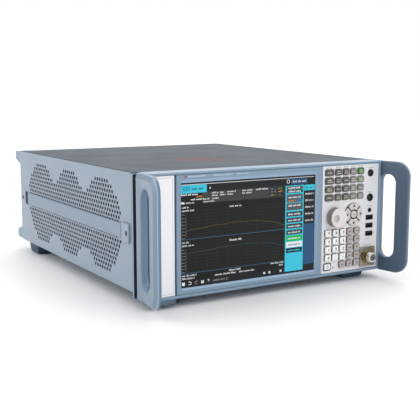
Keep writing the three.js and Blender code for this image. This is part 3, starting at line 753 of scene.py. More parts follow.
# ------------------------------------------------------------------ filler strip and screen bezel
BORDER_INSET, BORDER = 2.6, 0.35
make_plate("filler_strip", "strip", rounded(*strip_x, *strip_z, 1.2), rim(strip_y[0], strip_y[1], 0.5),
           slot="panel_white", stands_for="filler_panel")
make_plate("filler_strip_border", "ink_grey", around(strip_x, strip_z, -BORDER_INSET, 2),
           rim(strip_y[0] - 0.04, strip_y[0] + 0.02), [around(strip_x, strip_z, -BORDER_INSET - BORDER, 1.7)],
           slot="panel_white")

display_x, display_y, display_z = span("display_module")
SCREEN = (display_x[0] + 4, display_x[1] - 4, display_z[0] + 4, display_z[1] - 4)
RECESS = (SCREEN[0] - 2.5, SCREEN[1] + 2.5, SCREEN[2] - 2.7, SCREEN[3] + 4.5)


def window(part):
    """From the recess's outer edge at 0 to the display window at 1."""
    edges = [outer + (inner - outer) * part for outer, inner in zip(RECESS, SCREEN)]
    return rounded(*edges, 5.5 - 4.4 * part)(0)


bezel, bezel_front = Shape(), bezel_y[0]
depths, grows = [bezel_front, bezel_front + 0.25, bezel_front + 0.6, bezel_y[1]], [-0.6, -0.18, 0, 0]
# The sides of the display window take the lighter paint as a painted highlight.
plate(bezel, rounded(*bezel_x, *bezel_z, 1.2), (depths, grows), [(window, [0.0, 0.08, 0.2, 1.0])], lining=1)
make("screen_bezel_frame", bezel, ("frame", "lip"), slot="frame_paint", stands_for="screen_bezel")
marks, film = Shape(), (bezel_front - 0.04, bezel_front + 0.05)
turn(marks, [(0, film[0]), (1.7, film[0]), (1.7, film[1]), (0, film[1])], -148, 167, segments=24)
for x0, x1, height in ((-143, -116, 1.7), (-104, -72, 1.5), (-66, -46, 1.5)):
    greek(marks, x0, x1, 167, height, *film, 1)
make("bezel_marks", marks, ("ink_red", "ink_pale"), slot="frame_paint")

# ------------------------------------------------------------------ what the display shows
UI_COLOURS = {
    "white": (236, 238, 240), "text": (214, 218, 220), "dim": (128, 132, 136), "head": (62, 62, 62),
    "bar": (24, 27, 31), "cyan": (58, 200, 226), "blue": (24, 120, 168), "navy": (38, 84, 125),
    "line": (62, 98, 126), "grid": (50, 52, 54), "amber": (196, 132, 60), "trace": (104, 92, 54),
    "faint": (52, 82, 92), "lime": (120, 170, 60), "green": (30, 180, 80), "button": (58, 62, 68),
    "value": (84, 88, 92), "tile": (34, 38, 44),
}
for key, colour in UI_COLOURS.items():
    M[f"ui_{key}"] = glow(f"ui_{key}", colour)
ui = {key: Shape() for key in UI_COLOURS}
LAYER_DEPTHS = [display_y[0] - 0.05 - 0.05 * i for i in range(6)]
LAYERS = [(depth - 0.04, depth) for depth in LAYER_DEPTHS]
EDGE_LEFT, EDGE_RIGHT = SCREEN[0] + 0.3, SCREEN[1] - 0.3


def area(key, x0, x1, z0, z1, layer=0, round_by=0.0):
    if round_by:
        plate(ui[key], rounded(x0, x1, z0, z1, round_by, 3), rim(*LAYERS[layer]))
    else:
        bar(ui[key], x0, x1, z0, z1, *LAYERS[layer])


def label(key, x0, x1, z, height=1.9):
    greek(ui[key], x0, x1, z, height * 1.25, *LAYERS[4])


def trace(key, points, width, layer=2):
    """A thin lit line through the points."""
    for (x0, z0), (x1, z1) in zip(points, points[1:]):
        across = Vector((z0 - z1, x1 - x0)).normalized() * width / 2
        ends = ((x0, z0, -1), (x1, z1, -1), (x1, z1, 1), (x0, z0, 1))
        box(ui[key], [(x + s * across.x, y, z + s * across.y) for y in LAYERS[layer] for x, z, s in ends])


def ui_ring(key, inner, outer, x, z, segments):
    washer(ui[key], inner, outer, *LAYERS[1], x, z, segments)


# The top line and the block of settings under it.
area("bar", EDGE_LEFT, EDGE_RIGHT, 145, 158.2)
area("white", -153, 72, 155.3, 156.0, 1)
area("cyan", -153, -113, 144, 155, 1)
for row in range(3):
    for column in range(5):
        x, z = -150.5 + column * 2.3, 147 + row * 2.3
        area("blue", x, x + 1.6, z, z + 1.6, 2)
label("navy", -137, -118, 149.8, 2.6)
area("white", -108.6, -106.4, 148.4, 150.6, 1, 1.0)
area("head", -120, 19.6, 129.4, 144.6)
for z, (first, second) in ((141.8, ("dim", "lime")), (137.6, ("dim", "amber")), (133.0, ("lime", "trace"))):
    area("bar", -7, 4.5, z - 1.8, z + 1.8, 1)
    area("bar", 5.5, 18.5, z - 1.8, z + 1.8, 1)
    label(first, -6, 3.5, z, 1.7)
    label(second, 7, 15, z, 1.7)
for z, words in ((142.6, ((-105, -94), (-92, -86), (-80, -66), (-55, -38))),
                 (139.0, ((-105, -94), (-92, -82), (-80, -69), (-55, -38))),
                 (134.8, ((-118, -108), (-105, -92))), (131.2, ((-118, -100),))):
    for x0, x1 in words:
        label("text", x0, x1, z, 1.8)
for words in (("text", -32, -11, 142.8, 2.0), ("white", -153, -126, 142.3, 2.0),
              ("amber", -130, -120, 138.8, 1.8), ("white", -138, -118, 135.3, 1.8)):
    label(*words)
area("white", -153, -148, 129.7, 132.4, 1)
label("text", -146, -132, 131, 1.7)

# Two graphs, each with a grid, a scale, a title, a trace and a marker.
GRAPHS = ((82.0, 127.5), (35.0, 79.5))
GRAPH_X = (-152.5, 19.5)
SCALE = 8
RUN = GRAPH_X[1] - GRAPH_X[0] - SCALE - 1
for bottom, top in GRAPHS:
    for i in range(11):
        x = GRAPH_X[0] + SCALE + RUN * i / 10
        area("grid", x - 0.12, x + 0.12, bottom + 1, top - 8)
    for i in range(9):
        z = bottom + 1 + (top - 9 - bottom) * i / 8
        area("grid", GRAPH_X[0] + SCALE, GRAPH_X[1] - 1, z - 0.12, z + 0.12)
        label("dim", GRAPH_X[0], GRAPH_X[0] + 5.5, z, 1.1)
    area("line", -153, 19.8, bottom - 1.4, bottom - 0.7, 1)
    label("text", -76, -56, top - 5.5, 2.1)
    label("text", -152, -141, top - 2.5, 1.8)
    label("text", -152, -133, top - 6.8, 1.8)


def curve_points(level, rise, bend, fall, power, ripple, waves, count=70):
    return [(GRAPH_X[0] + SCALE + RUN * t,
             level + rise * math.sin(bend * t) - fall * t ** power + ripple * math.sin(waves * t))
            for t in (i / count for i in range(count + 1))]


trace("trace", curve_points(93, 6, 2.6, 9, 6, 0.4, 30), 0.5)
trace("faint", curve_points(61, 5, 2.8, 6, 8, 0.3, 24), 0.5)
for bottom, top in GRAPHS:
    trace("trace", [(GRAPH_X[0] + 6.5, bottom + 2), (GRAPH_X[0] + 6.5, top - 14)], 0.8)

# The lines under the graphs and the row of icons.
for z, words in ((31.0, ((-152, -129), (-77, -56))), (26.9, ((-152, -133), (-100, -65), (-60, -33))),
                 (32.6, ((-5, 18),)), (28.8, ((10, 17),))):
    for x0, x1 in words:
        label("text", x0, x1, z)
area("bar", EDGE_LEFT, EDGE_RIGHT, 14.6, 24)
area("white", -152.2, -147.8, 17.4, 21.8, 1, 0.6)
for key, points in (("white", [(-142.5, 18), (-138, 18), (-138, 21.4), (-142, 21.4), (-140.6, 22.6)]),
                    ("dim", [(-127.5, 18), (-132, 18), (-132, 21.4), (-128, 21.4), (-129.4, 22.6)])):
    trace(key, points, 0.7, 1)
area("white", -122, -118, 17.6, 21.6, 1, 0.4)
area("bar", -121, -119, 20.2, 21.2, 2)
trace("white", [(-112, 21), (-110.6, 22.2), (-109, 21), (-110.2, 19.6), (-110.2, 18.8)], 0.7, 1)
label("dim", -103, -84, 19.6, 2.0)
ui_ring("dim", 1.4, 2.0, -80, 19.6, 20)
for x in (-16, -7, 13):
    area("text", x - 1.7, x + 1.7, 18, 21.2, 1, 0.5)

# The menu at the right.
area("cyan", 20.3, 53.5, 17, 144.5, 1)
MENU = [("value", 138.3, 143.3), ("tile", 133.5, 138.0), ("value", 119.5, 131.5), ("value", 108, 118.5)]
MENU += [("button", top - 7, top) for top in (105.7, 96.7, 87.8, 78.7)]
MENU += [("green", 62, 70), ("white", 52.8, 61), ("bar", 44.8, 51.8)]
for key, z0, z1 in MENU:
    area(key, 22.3, 51.7, z0, z1, 2, 0.6)
    word = {"white": "navy", "bar": "cyan"}.get(key, "white")
    label(word, 25.5, 48, mid((z0, z1)) + (1.6 if z1 - z0 > 9 else 0), 2.0)
label("amber", 26, 40, 122.2, 2.0)
area("blue", 42, 50, 120.5, 124.5, 3)
ui_ring("white", 2.0, 2.8, 25, 150.5, 24)
area("navy", 30, 60, 146, 154, 1, 0.6)
label("text", 33, 57, 150, 2.2)
TABS = (54.2, 73.8)
area("cyan", *TABS, 135.7, 144, 1)
label("navy", 56.5, 71.5, 139.8, 2.0)
for z in (130.5, 121.0, 111.0, 101.0, 91.0):
    area("tile", *TABS, z - 4.4, z + 4.2, 1, 0.4)
    label("text", 56.5, 71.5, z, 2.0)
area("navy", *TABS, 24.5, 85.8, 1)
for key, shape in ui.items():
    make(f"display_{key}", shape, f"ui_{key}", slot="display")

# ------------------------------------------------------------------ keys
PRESS_CLEARANCE = 0.4
LINK_FRONT = 3.7
FUNCTION_COLUMNS = [(99.0, 16.0)] + [(116 + 14.7 * i, 12.0) for i in range(4)]
NUMBER_COLUMNS = [(97.5 + 14.27 * i, 11.5) for i in range(5)]
NUMBER_LEGENDS = ("789", "456", "123", "0.-")
SIGNS = (("word", "word"), ("word", "word"), ("word", "back"), ("word", "word"), ("back", "up", "down"))
key_holes = []


def cap_profile(back, front, edge=0.7):
    """Straight sides, a rounded edge and a shallow dish."""
    depths = [back, front + edge, front + edge * 0.45, front + edge * 0.12, front, front + 0.12, front + 0.2]
    return depths, [0, 0, -edge * 0.16, -edge * 0.55, -edge * 1.1, -edge * 2.6, -edge * 4.2]


def key_row(word, row, columns, radius, edge, materials, ink, slot, colour_of, sign, walls=(), link=0):
    """One row of caps and their print, joined by a hidden bar."""
    node = f"{word}_key_row_{row + 1}"
    _, (front, back), z_range = span(node)
    z, height = mid(z_range), z_range[1] - z_range[0]
    caps, legends = Shape(), Shape()
    for column, (x, width) in enumerate(columns):
        plate(caps, centred(x, z, width, height, radius), cap_profile(back, front, edge), (), FRONT,
              colour_of(column), walls)
        key_holes.append(centred(x, z, width + 2 * PRESS_CLEARANCE, height + 2 * PRESS_CLEARANCE, radius + 0.2))
        sign(legends, column, x, z, front)
    bar(caps, columns[0][0], columns[-1][0], z - 2, z + 2, LINK_FRONT, back - 0.05, link)
    body = f"{word}_row_{row + 1}"
    make(f"{word}_keys_{row + 1}", caps, materials, body, f"key_{slot}", node)
    make(f"{word}_legends_{row + 1}", legends, ink, body, f"key_{slot}")


for row in range(4):
    def function_legend(legends, column, x, z, front, row=row):
        for offset in ((1.5, -1.5) if (row + column) % 3 else (0.0,)):
            reach = FUNCTION_COLUMNS[column][1] * (0.3 if offset <= 0 else 0.24)
            greek(legends, x - reach, x + reach, z + offset, 1.5, front + 0.16, front + 0.3)

    key_row("function", row, FUNCTION_COLUMNS, 2.0, 0.7, ("dark", "mid", "green", "sage"), "ink_key", "dark",
            (0, 0, 0, 1, (2, 3, 1, 1)[row]).__getitem__, function_legend)

for row in range(5):
    digits = 3 if row < 4 else 0

    def number_legend(legends, column, x, z, front, row=row, digits=digits):
        """A digit, or a generic arrow or stroke."""
        film = (front + 0.16, front + 0.3)
        kind = "digit" if column < digits else SIGNS[row][column - digits]
        if kind == "digit":
            write(legends, NUMBER_LEGENDS[row][column], x + 1.0, z - 0.2, 5.6, front + 0.12, film[1])
        elif kind == "word":
            greek(legends, x - 2.8, x + 2.8, z, 1.7, *film)
        elif kind == "back":
            plate(legends, fixed([(x - 2.4, z), (x - 0.6, z - 1.3), (x - 0.6, z + 1.3)]), rim(*film))
            bar(legends, x - 0.6, x + 2.2, z - 0.35, z + 0.35, *film)
        else:
            rise = 1.3 if kind == "up" else -1.3
            plate(legends, fixed([(x - 1.6, z - rise), (x + 1.6, z - rise), (x, z + rise)]), rim(*film))

    # The sides of the caps take a darker grey as painted shade.
    key_row("number", row, NUMBER_COLUMNS if digits else NUMBER_COLUMNS[2:], 1.8, 0.9,
            ("white", "grey", "skirt"), "ink_dark", "white",
            lambda column, digits=digits: 0 if column < digits else 1, number_legend, walls=(2,), link=1)

power_x, (power_front, power_back), power_z = span("power_key")
make_plate("power_key_cap", "white", rounded(*power_x, *power_z, 1.8), cap_profile(power_back, power_front),
           body="power_key", slot="key_white", stands_for="power_key")
key_holes.append(rounded(*power_x, *power_z, 2.0))
sign, px, pz = Shape(), mid(power_x), mid(power_z)
arc = [math.radians(130 + 280 * i / 20) for i in range(21)]
ring = [(px + r * math.cos(a), pz + r * math.sin(a)) for r, angles in ((2.3, arc), (1.65, arc[::-1])) for a in angles]
film = (power_front + 0.14, power_front + 0.3)
plate(sign, fixed(ring), rim(*film))
bar(sign, px - 0.33, px + 0.33, pz + 0.2, pz + 2.7, *film)
make("power_key_symbol", sign, "ink_dark", "power_key", "key_white")

nav_x, nav_z = centre_of("enter_key")
nav_front, nav_back = span("arrow_key_up")[1]
NAV_OUTER, NAV_INNER, NAV_HALF, SIGN_REACH = 17.2, 7.6, 42.6, 13.0


def sector(angle):
    """A ring sector with softened corners."""
    def outline(grow):
        steps, points = 14, []
        outer, inner = NAV_OUTER + grow, NAV_INNER - grow
        for radius, direction in ((outer, 1), (inner, -1)):
            spread = math.radians(NAV_HALF) + grow / radius - 0.03
            for i in range(steps + 1):
                turn_by = direction * (2 * i / steps - 1)
                soft = 1.1 * abs(2 * i / steps - 1) ** 10 * (-1 if direction > 0 else 1)
                a = angle + spread * turn_by
                points.append((nav_x + (radius + soft) * math.cos(a), nav_z + (radius + soft) * math.sin(a)))
        return points
    return outline


for quarter, name in enumerate(("right", "up", "left", "down")):
    angle = quarter * math.pi / 2
    key, body = Shape(), f"arrow_{name}"
    depths = [nav_back, nav_front + 0.6, nav_front + 0.2, nav_front]
    # The sides of each arrow key take a darker grey as painted shade.
    plate(key, sector(angle), (depths, [0, 0, -0.22, -0.7]), walls=(1,))
    make(f"arrow_key_{name}_cap", key, ("nav", "skirt"), body, "key_white", f"arrow_key_{name}")
    cx, cz = nav_x + SIGN_REACH * math.cos(angle), nav_z + SIGN_REACH * math.sin(angle)
    tip = [(cx + 3.0 * math.cos(angle + turned), cz + 3.0 * math.sin(angle + turned)) for turned in (0, 2.1, -2.1)]
    make_plate(f"arrow_key_{name}_sign", "ink_dark", fixed(tip), rim(nav_front - 0.05, nav_front + 0.1),
               body=body, slot="key_white")
key_holes.append(disc(nav_x, nav_z, NAV_OUTER + 0.5, 48))

enter_front, enter_back = span("enter_key")[1]
make_turned("enter_key_cap", "nav", [(0, enter_back), (5.6, enter_back), (5.6, enter_front + 0.8),
                                     (5.4, enter_front + 0.3), (4.9, enter_front), (2.5, enter_front + 0.15),
                                     (0, enter_front + 0.2)], nav_x, nav_z, 40,
            body="enter_key", slot="key_white", stands_for="enter_key")
sign = Shape()
bar(sign, nav_x - 2.2, nav_x + 2.2, nav_z - 0.5, nav_z + 0.5, enter_front + 0.05, enter_front + 0.3)
make("enter_key_sign", sign, "ink_dark", "enter_key", "key_white")
# A grey disc behind the arrow keys shows in the gaps between them as painted shade.
# Far enough behind the keys to stay clear of them when they are pressed.
make_plate("arrow_pad_gasket", "gap", disc(nav_x, nav_z, NAV_OUTER + 0.6, 48),
           rim(nav_back + 1.5, nav_back + 2.4), slot="key_dark")

# ------------------------------------------------------------------ tuning knob
knob_x, (knob_front, knob_back), _ = span("rotary_knob")
KNOB, KNOB_RADIUS = centre_of("rotary_knob"), (knob_x[1] - knob_x[0]) / 2
FACE_RADIUS, FACE_BACK, KNOB_BORE = KNOB_RADIUS - 1.6, knob_front + 3.2, -0.6
DIMPLE, DIMPLE_RADIUS, DIMPLE_DEPTH = (KNOB[0] - 5.6, KNOB[1] - 0.4), 5.7, 2.6
dial = Shape()
# The knob's side takes a darker grey than its face as painted shade, and the dimple a darker plastic as painted
# shade.
turn(dial, [(FACE_RADIUS, FACE_BACK), (0, FACE_BACK), (0, KNOB_BORE), (KNOB_RADIUS - 3, KNOB_BORE),
            (KNOB_RADIUS - 3, knob_back), (KNOB_RADIUS - 0.5, knob_back), (KNOB_RADIUS, knob_back - 0.6),
            (KNOB_RADIUS, knob_front + 1.6)], *KNOB, segments=72, material=1)
turn(dial, [(KNOB_RADIUS, knob_front + 1.6), (KNOB_RADIUS - 0.25, knob_front + 0.75),
            (KNOB_RADIUS - 0.8, knob_front + 0.22), (FACE_RADIUS, knob_front), (FACE_RADIUS, FACE_BACK)],
     *KNOB, segments=72)
plate(dial, disc(*KNOB, FACE_RADIUS, 72), rim(knob_front, FACE_BACK), [disc(*DIMPLE, DIMPLE_RADIUS, 48)])
bowl = [(DIMPLE_RADIUS * math.sin(a), knob_front + DIMPLE_DEPTH * math.cos(a) + 0.05)
        for a in map(math.radians, range(0, 91, 9))]
turn(dial, bowl + [(DIMPLE_RADIUS + 0.05, knob_front + 3.1), (0, knob_front + 3.1)], *DIMPLE,
     segments=48, material=2)
make("rotary_knob_cap", dial, ("knob", "knob_side", "bowl"), "knob", "key_white", "rotary_knob", sharp=50)

# ------------------------------------------------------------------ key panel and its print
SOCKETS = {name: span(name) for name in ("probe_power_socket", "trigger_socket", "headphone_jack")}
SOCKET_X = centre_of("trigger_socket")[0]
USB = [span(f"usb_port_{i}") for i in (1, 2, 3)]
RF, RF_BORE = centre_of("rf_connector"), 7.2
LAMP = (109.75, 13.4)
panel_front = panel_y[0]
holes = key_holes + [disc(*KNOB, 4.0, 24), disc(*RF, RF_BORE)]
holes += [disc(mid(x), mid(z), (x[1] - x[0]) / 2 + FIT) for x, _, z in SOCKETS.values()]
holes += [around(x, z, FIT, 0.5) for x, _, z in USB]
holes.append(disc(*LAMP, 1.1, 16))
make_plate("key_panel_fascia", "panel", rounded(*panel_x, *panel_z, 1.4), rim(*panel_y, 0.3), holes,
           slot="panel_white", stands_for="key_panel")
make_turned("pilot_lamp_lens", "lamp", [(0, 3), (1.0, 3), (1.0, panel_front - 0.1), (0.7, panel_front - 0.35),
                                        (0, panel_front - 0.45)], *LAMP, 20, slot="display")
make_plate("power_key_surround", "foot", centred(px, pz, 15.6, 12.2, 2.6),
           rim(panel_front - 0.5, panel_front + 0.1, 0.3), [centred(px, pz, 12.4, 9.2, 2.0)], slot="frame_paint")

print_marks = Shape()
first_row_top = span("function_key_row_1")[2][1]
PRINT = [(93, 105, first_row_top + 2.6)] + [(x - 4.5, x + 4.5, first_row_top + 3.0) for x in (116, 131, 145.5, 160)]
PRINT += [(mid(x) - 5, mid(x) + 5, z[1] + 3.2) for x, _, z in SOCKETS.values()]
PRINT += [(SOCKET_X - 6, SOCKET_X + 1, USB[2][2][0] - 4.2),
          (RF[0] - 8, RF[0] + 8, span("rf_flange_plate")[2][1] + 3.0)]
for x0, x1, z in PRINT:
    greek(print_marks, x0, x1, z, 1.3, panel_front - 0.04, panel_front + 0.02)
make("key_panel_print", print_marks, "ink_grey", slot="panel_white")
dot = (panel_front - 0.1, panel_front + 0.1)
make_turned("status_dot", "amber", [(0, dot[0]), (0.8, dot[0]), (0.8, dot[1]), (0, dot[1])],
            SOCKET_X + 9.3, 61, 16, slot="panel_white")

# ------------------------------------------------------------------ connectors on the key panel
for name, (x, (front, back), z) in SOCKETS.items():
    shape, cx, cz, radius = Shape(), mid(x), mid(z), (x[1] - x[0]) / 2
    inner = radius - 1.2
    if name == "headphone_jack":
        turn(shape, [(0, back), (radius, back), (radius, front + 0.3), (radius - 0.3, front), (1.9, front),
                     (1.75, front + 0.3), (1.75, 9), (0, 9)], cx, cz)
    else:
        turn(shape, [(0, back), (radius, back), (radius, front + 0.4), (radius - 0.3, front),
                     (inner + 0.2, front), (inner, front + 0.3), (inner, 3.4), (0, 3.4)], cx, cz, segments=40)
        turn(shape, [(0, 3.5), (inner - 1.0, 3.5), (inner - 1.0, 1.2), (inner - 1.3, 0.9), (0, 0.9)], cx, cz)
        pins = 6 if radius < 5.5 else 5
        for u, v in circle(cx, cz, 1.9, pins, math.pi / 2 / pins):
            turn(shape, [(0, 1.0), (0.42, 1.0), (0.42, 0.5), (0.2, 0.3), (0, 0.3)], u, v, segments=10, material=1)
    make(f"{name}_body", shape, ("black", "gold"), slot="black_plastic", stands_for=name)

for number, (x, (front, back), z) in enumerate(USB, 1):
    shape, node, top = Shape(), f"usb_port_{number}", z[1]
    plate(shape, rounded(*x, *z, 0.7), rim(front, back, 0.25),
          [rounded(x[0] + 0.75, x[1] - 0.75, z[0] + 1.05, top - 1.05, 0.3)])
    plate(shape, rounded(x[0] + 0.6, x[1] - 0.6, z[0] + 0.9, top - 0.9, 0.3), rim(back - 1.5, back))
    plate(shape, rounded(x[0] + 1.6, x[1] - 1.6, top - 3.4, top - 1.7, 0.2), rim(front + 1.4, back - 1.2, 0.2))
    for i in range(4):
        cx = x[0] + 3.4 + i * (x[1] - x[0] - 6.8) / 3
        bar(shape, cx - 0.5, cx + 0.5, top - 3.5, top - 3.38, front + 1.8, back - 3, 1)
    make(f"{node}_shell", shape, ("black", "gold"), slot="black_plastic", stands_for=node)

flange_x, flange_y, flange_z = span("rf_flange_plate")
make_plate("rf_flange", "flange", rounded(*flange_x, *flange_z, 1.0), rim(*flange_y, 0.35), [disc(*RF, RF_BORE)],
           slot="flange_metal", stands_for="rf_flange_plate")
bolts = Shape()
for dx in (-12.1, 12.1):
    for dz in (-12.1, 12.1):
        screw(bolts, RF[0] + dx, RF[1] + dz, flange_y[0], -1, 1.9)
make("rf_flange_screws", bolts, ("steel", "black"), slot="bare_steel")

rf_front = span("rf_connector")[1][0]
coax = Shape()
turn(coax, [(6.8, 0), (6.8, -1.7), (10.2, -1.7), (10.5, -2.0), (10.5, -4.0), (10.1, -4.4), (6.8, -4.4)],
     *RF, segments=48, material=1, closed=True)
plate(coax, fixed(circle(*RF, 9.3, 6, math.radians(15))), rim(-4.4, -6.6), [disc(*RF, 6.0)], FRONT, 1)
THREAD_PITCH, THREAD_START = 1.3, -7.4
threads = []
for i in range(int((THREAD_START - rf_front - 1.2) / THREAD_PITCH)):
    y = THREAD_START - i * THREAD_PITCH
    threads += [(7.85, y), (7.85, y - 0.35), (7.3, y - 0.65), (7.3, y - 0.95)]
turn(coax, [(6.0, 12), (6.0, -4.4), (7.2, -4.4), (7.2, -7.0), *threads, (7.6, rf_front + 0.8), (7.1, rf_front),
            (5.1, rf_front), (4.9, rf_front + 0.4), (4.9, -4.0), (4.2, -4.0), (4.2, 12)],
     *RF, segments=48, closed=True)
turn(coax, [(4.3, -4.0), (1.2, -4.0), (1.2, 4), (4.3, 4)], *RF, material=2, closed=True)
turn(coax, [(0, 6), (1.15, 6), (1.15, rf_front + 6), (0.85, rf_front + 5.2), (0.5, rf_front + 5.2),
            (0.5, rf_front + 9), (0, rf_front + 9)], *RF, segments=20, material=1)
make("rf_connector_body", coax, ("nickel", "gold", "white"), slot="connector_nickel", stands_for="rf_connector")

# ------------------------------------------------------------------ emblem on the cover and cover screws
EMBLEM_X, EMBLEM_Y, EMBLEM_RADIUS, BAND = (-60, 8), (133, 217), 31, 9
depths = rim(cover_z[1] + 0.12, cover_z[1] - 0.1)
emblem = Shape()
plate(emblem, rounded(*EMBLEM_X, *EMBLEM_Y, EMBLEM_RADIUS, 10), depths,
      [rounded(EMBLEM_X[0] + BAND, EMBLEM_X[1] - BAND, EMBLEM_Y[0] + BAND, EMBLEM_Y[1] - BAND,
               EMBLEM_RADIUS - BAND, 10)], TOP)
plate(emblem, rounded(-42, -10, 164, 186, 8, 6), depths, (), TOP)
make("top_emblem", emblem, "emblem", slot="top_paint")
top_screws = Shape()
for x in (-190, -60, 60, 190):
    screw(top_screws, x, cover_y[1] - 9, cover_z[1] - 0.9, 1, 2.4, TOP)
make("top_cover_screws", top_screws, ("steel", "black"), slot="bare_steel")

# ------------------------------------------------------------------ back of the case
rocker_x, _, rocker_z = span("mains_rocker")
inlet_x, (_, inlet_back), inlet_z = span("mains_inlet")
FAN, INLET = centre_of("fan_housing"), centre_of("mains_inlet")
REFERENCES = {name: span(name) for name in ("reference_input_socket", "reference_output_socket")}
TRIGGERS = ((92, 140), (118, 140))
SOCKET_MIDDLES = TRIGGERS + tuple((mid(x), mid(z)) for x, _, z in REFERENCES.values())
PORTS = [("network", -170, 44, 15.5, 13.5), ("usb_a", -146, 42, 13.5, 6.5), ("usb_b", -146, 52, 13.5, 6.5),
         ("video", -120, 46, 18.5, 6.2), ("monitor", -120, 34, 15.5, 5.6)]
VENT_PITCH = (9, 8.5)
rocker_hole = rounded(rocker_x[0] - 0.5, rocker_x[1] + 0.5, rocker_z[0] - 0.6, rocker_z[1] + 0.6, 1.2)
rear_holes = [disc(*FAN, 43, 64), centred(*INLET, 31, 24, 1.5), rocker_hole]
rear_holes += [disc(x, z, 5.1, 28) for x, z in SOCKET_MIDDLES]
rear_holes += [centred(x, z, width, height, 0.6) for _, x, z, width, height in PORTS]
for x, z, columns, rows in ((-172, 92, 6, 8), (4, 74, 19, 5)):
    rear_holes += [centred(x + VENT_PITCH[0] * i, z + VENT_PITCH[1] * j, 6.4, 3.4, 1.6, 3)
                   for i in range(columns) for j in range(rows)]
make_plate("rear_panel_sheet", "zinc", rounded(*rear_x, *rear_z, 2), rim(BACK, rear_y[0], 0.3), rear_holes,
           slot="zinc_sheet", stands_for="rear_panel")

WIRE = 0.9
guard = Shape()
for radius in range(10, 46, 7):
    turn(guard, circle(radius, BACK + 2.6, WIRE, 8), *FAN, segments=56, closed=True)
for quarter in range(4):
    a = math.radians(45 + 90 * quarter)
    along, across = (math.cos(a), math.sin(a)), (-math.sin(a), math.cos(a))
    strut = [tuple(c + r * f + s * g for c, f, g in zip(FAN, along, across))
             for r, s in ((9, WIRE), (9, -WIRE), (56, -WIRE), (56, WIRE))]
    plate(guard, fixed(strut), rim(BACK + 0.2, BACK + 1.8))
    screw(guard, FAN[0] + 58 * along[0], FAN[1] + 58 * along[1], BACK, 1, 3.2)
make("fan_guard", guard, ("steel", "black"), slot="bare_steel")

INLET_FLOOR = 486
inlet, mouth, body = Shape(), centred(*INLET, 24.5, 17, 2.5), centred(*INLET, 30.5, 23, 1.5)
plate(inlet, rounded(*inlet_x, *inlet_z, 3), rim(inlet_back, BACK + 0.3, 0.8), [mouth])
plate(inlet, body, rim(BACK + 0.6, INLET_FLOOR), [mouth])
plate(inlet, body, rim(INLET_FLOOR + 0.2, INLET_FLOOR - 2))
for dx, dz in ((-7, -2), (0, 2), (7, -2)):
    plate(inlet, centred(INLET[0] + dx, INLET[1] + dz, 2.0, 5.0, 0.5, 2), rim(500.5, INLET_FLOOR, 0.4),
          (), FRONT, 1)
for dx in (-20, 20):
    screw(inlet, INLET[0] + dx, INLET[1], inlet_back, 1, 2.4, FRONT, (1, 0))
make("mains_inlet_body", inlet, ("black", "nickel"), slot="black_plastic", stands_for="mains_inlet")

cx, cz, rocker_half = mid(rocker_x), mid(rocker_z), (rocker_z[1] - rocker_z[0]) / 2
rocker_mid = BACK - 1
tilt = [(rocker_mid - 6, cz - 6)]
for t in (-1 + i / 6 for i in range(13)):
    dip = 0.9 * (1 - abs(t)) if abs(t) < 1 else 0
    tilt.append((rocker_mid + 3.6 + 1.55 * t - dip, cz + t * (rocker_half - 0.6)))
tilt.append((rocker_mid - 6, cz + 6))
make_plate("mains_rocker_cap", "black", scaled(tilt, (rocker_mid, cz)), rim(*rocker_x, 0.7, 0.7), (), side_on(1),
           body="mains_rocker", slot="black_plastic", stands_for="mains_rocker")
rocker_marks = Shape()
bar(rocker_marks, cx - 0.3, cx + 0.3, cz - 7.2, cz - 3.8, rocker_mid + 1.9, rocker_mid + 2.75)
washer(rocker_marks, 1.2, 1.7, rocker_mid + 3.6, rocker_mid + 4.45, cx, cz + 5.2, 20)
make("mains_rocker_marks", rocker_marks, "ink_key", "mains_rocker", "black_plastic")
make_plate("mains_rocker_frame", "black", centred(cx, cz, 18, 26, 2), rim(BACK + 1.4, BACK, 0.6), [rocker_hole],
           slot="black_plastic")


def bayonet(shape, x, z, end):
    """A BNC socket seen from behind: nut, barrel with two lugs, insulator and contact."""
    plate(shape, fixed(circle(x, z, 7.2, 6)), rim(BACK + 2.2, BACK), [disc(x, z, 4.7, 28)])
    turn(shape, [(4.8, end - 15), (4.8, end - 0.5), (4.5, end), (3.6, end), (3.5, end - 0.4), (3.5, end - 8),
                 (2.4, end - 8), (2.4, end - 15)], x, z, segments=36, closed=True)
    for s in (-1, 1):
        turn(shape, [(0, 4.6), (0.95, 4.6), (0.95, 5.9), (0.7, 6.2), (0, 6.2)], 0, 0,
             put=lambda u, v, d, s=s: (x + u, end - 3.2 + v, z + s * d), segments=14)
    washer(shape, 2.5, 1.0, end - 7, end - 12, x, z, 24, 1)
    turn(shape, [(0, end - 13), (0.9, end - 13), (0.9, end - 3.4), (0.6, end - 3), (0, end - 3)], x, z,
         segments=16, material=2)


BAYONET = {"materials": ("nickel", "white", "gold"), "slot": "connector_nickel"}
for name, (x, y, z) in REFERENCES.items():
    shape, socket_end = Shape(), y[1]
    bayonet(shape, mid(x), mid(z), socket_end)
    make(f"{name}_body", shape, stands_for=name, **BAYONET)
triggers = Shape()
for x, z in TRIGGERS:
    bayonet(triggers, x, z, socket_end)
make("trigger_sockets", triggers, **BAYONET)

for name, x, z, width, height in PORTS:
    shape, tongue = Shape(), height * 0.24
    plate(shape, centred(x, z, width - 0.4, height - 0.4, 0.6), rim(BACK + 0.7, BACK - 12, 0.2),
          [centred(x, z, width - 1.8, height - 1.8, 0.4)])
    plate(shape, centred(x, z, width - 1.6, height - 1.6, 0.4), rim(BACK - 10, BACK - 12), (), FRONT, 1)
    plate(shape, centred(x, z + (tongue if name != "network" else height * 0.3), width - 4.4, tongue, 0.2),
          rim(BACK - 1.2, BACK - 11), (), FRONT, 1)
    make(f"rear_port_{name}", shape, ("steel", "black"), slot="bare_steel")

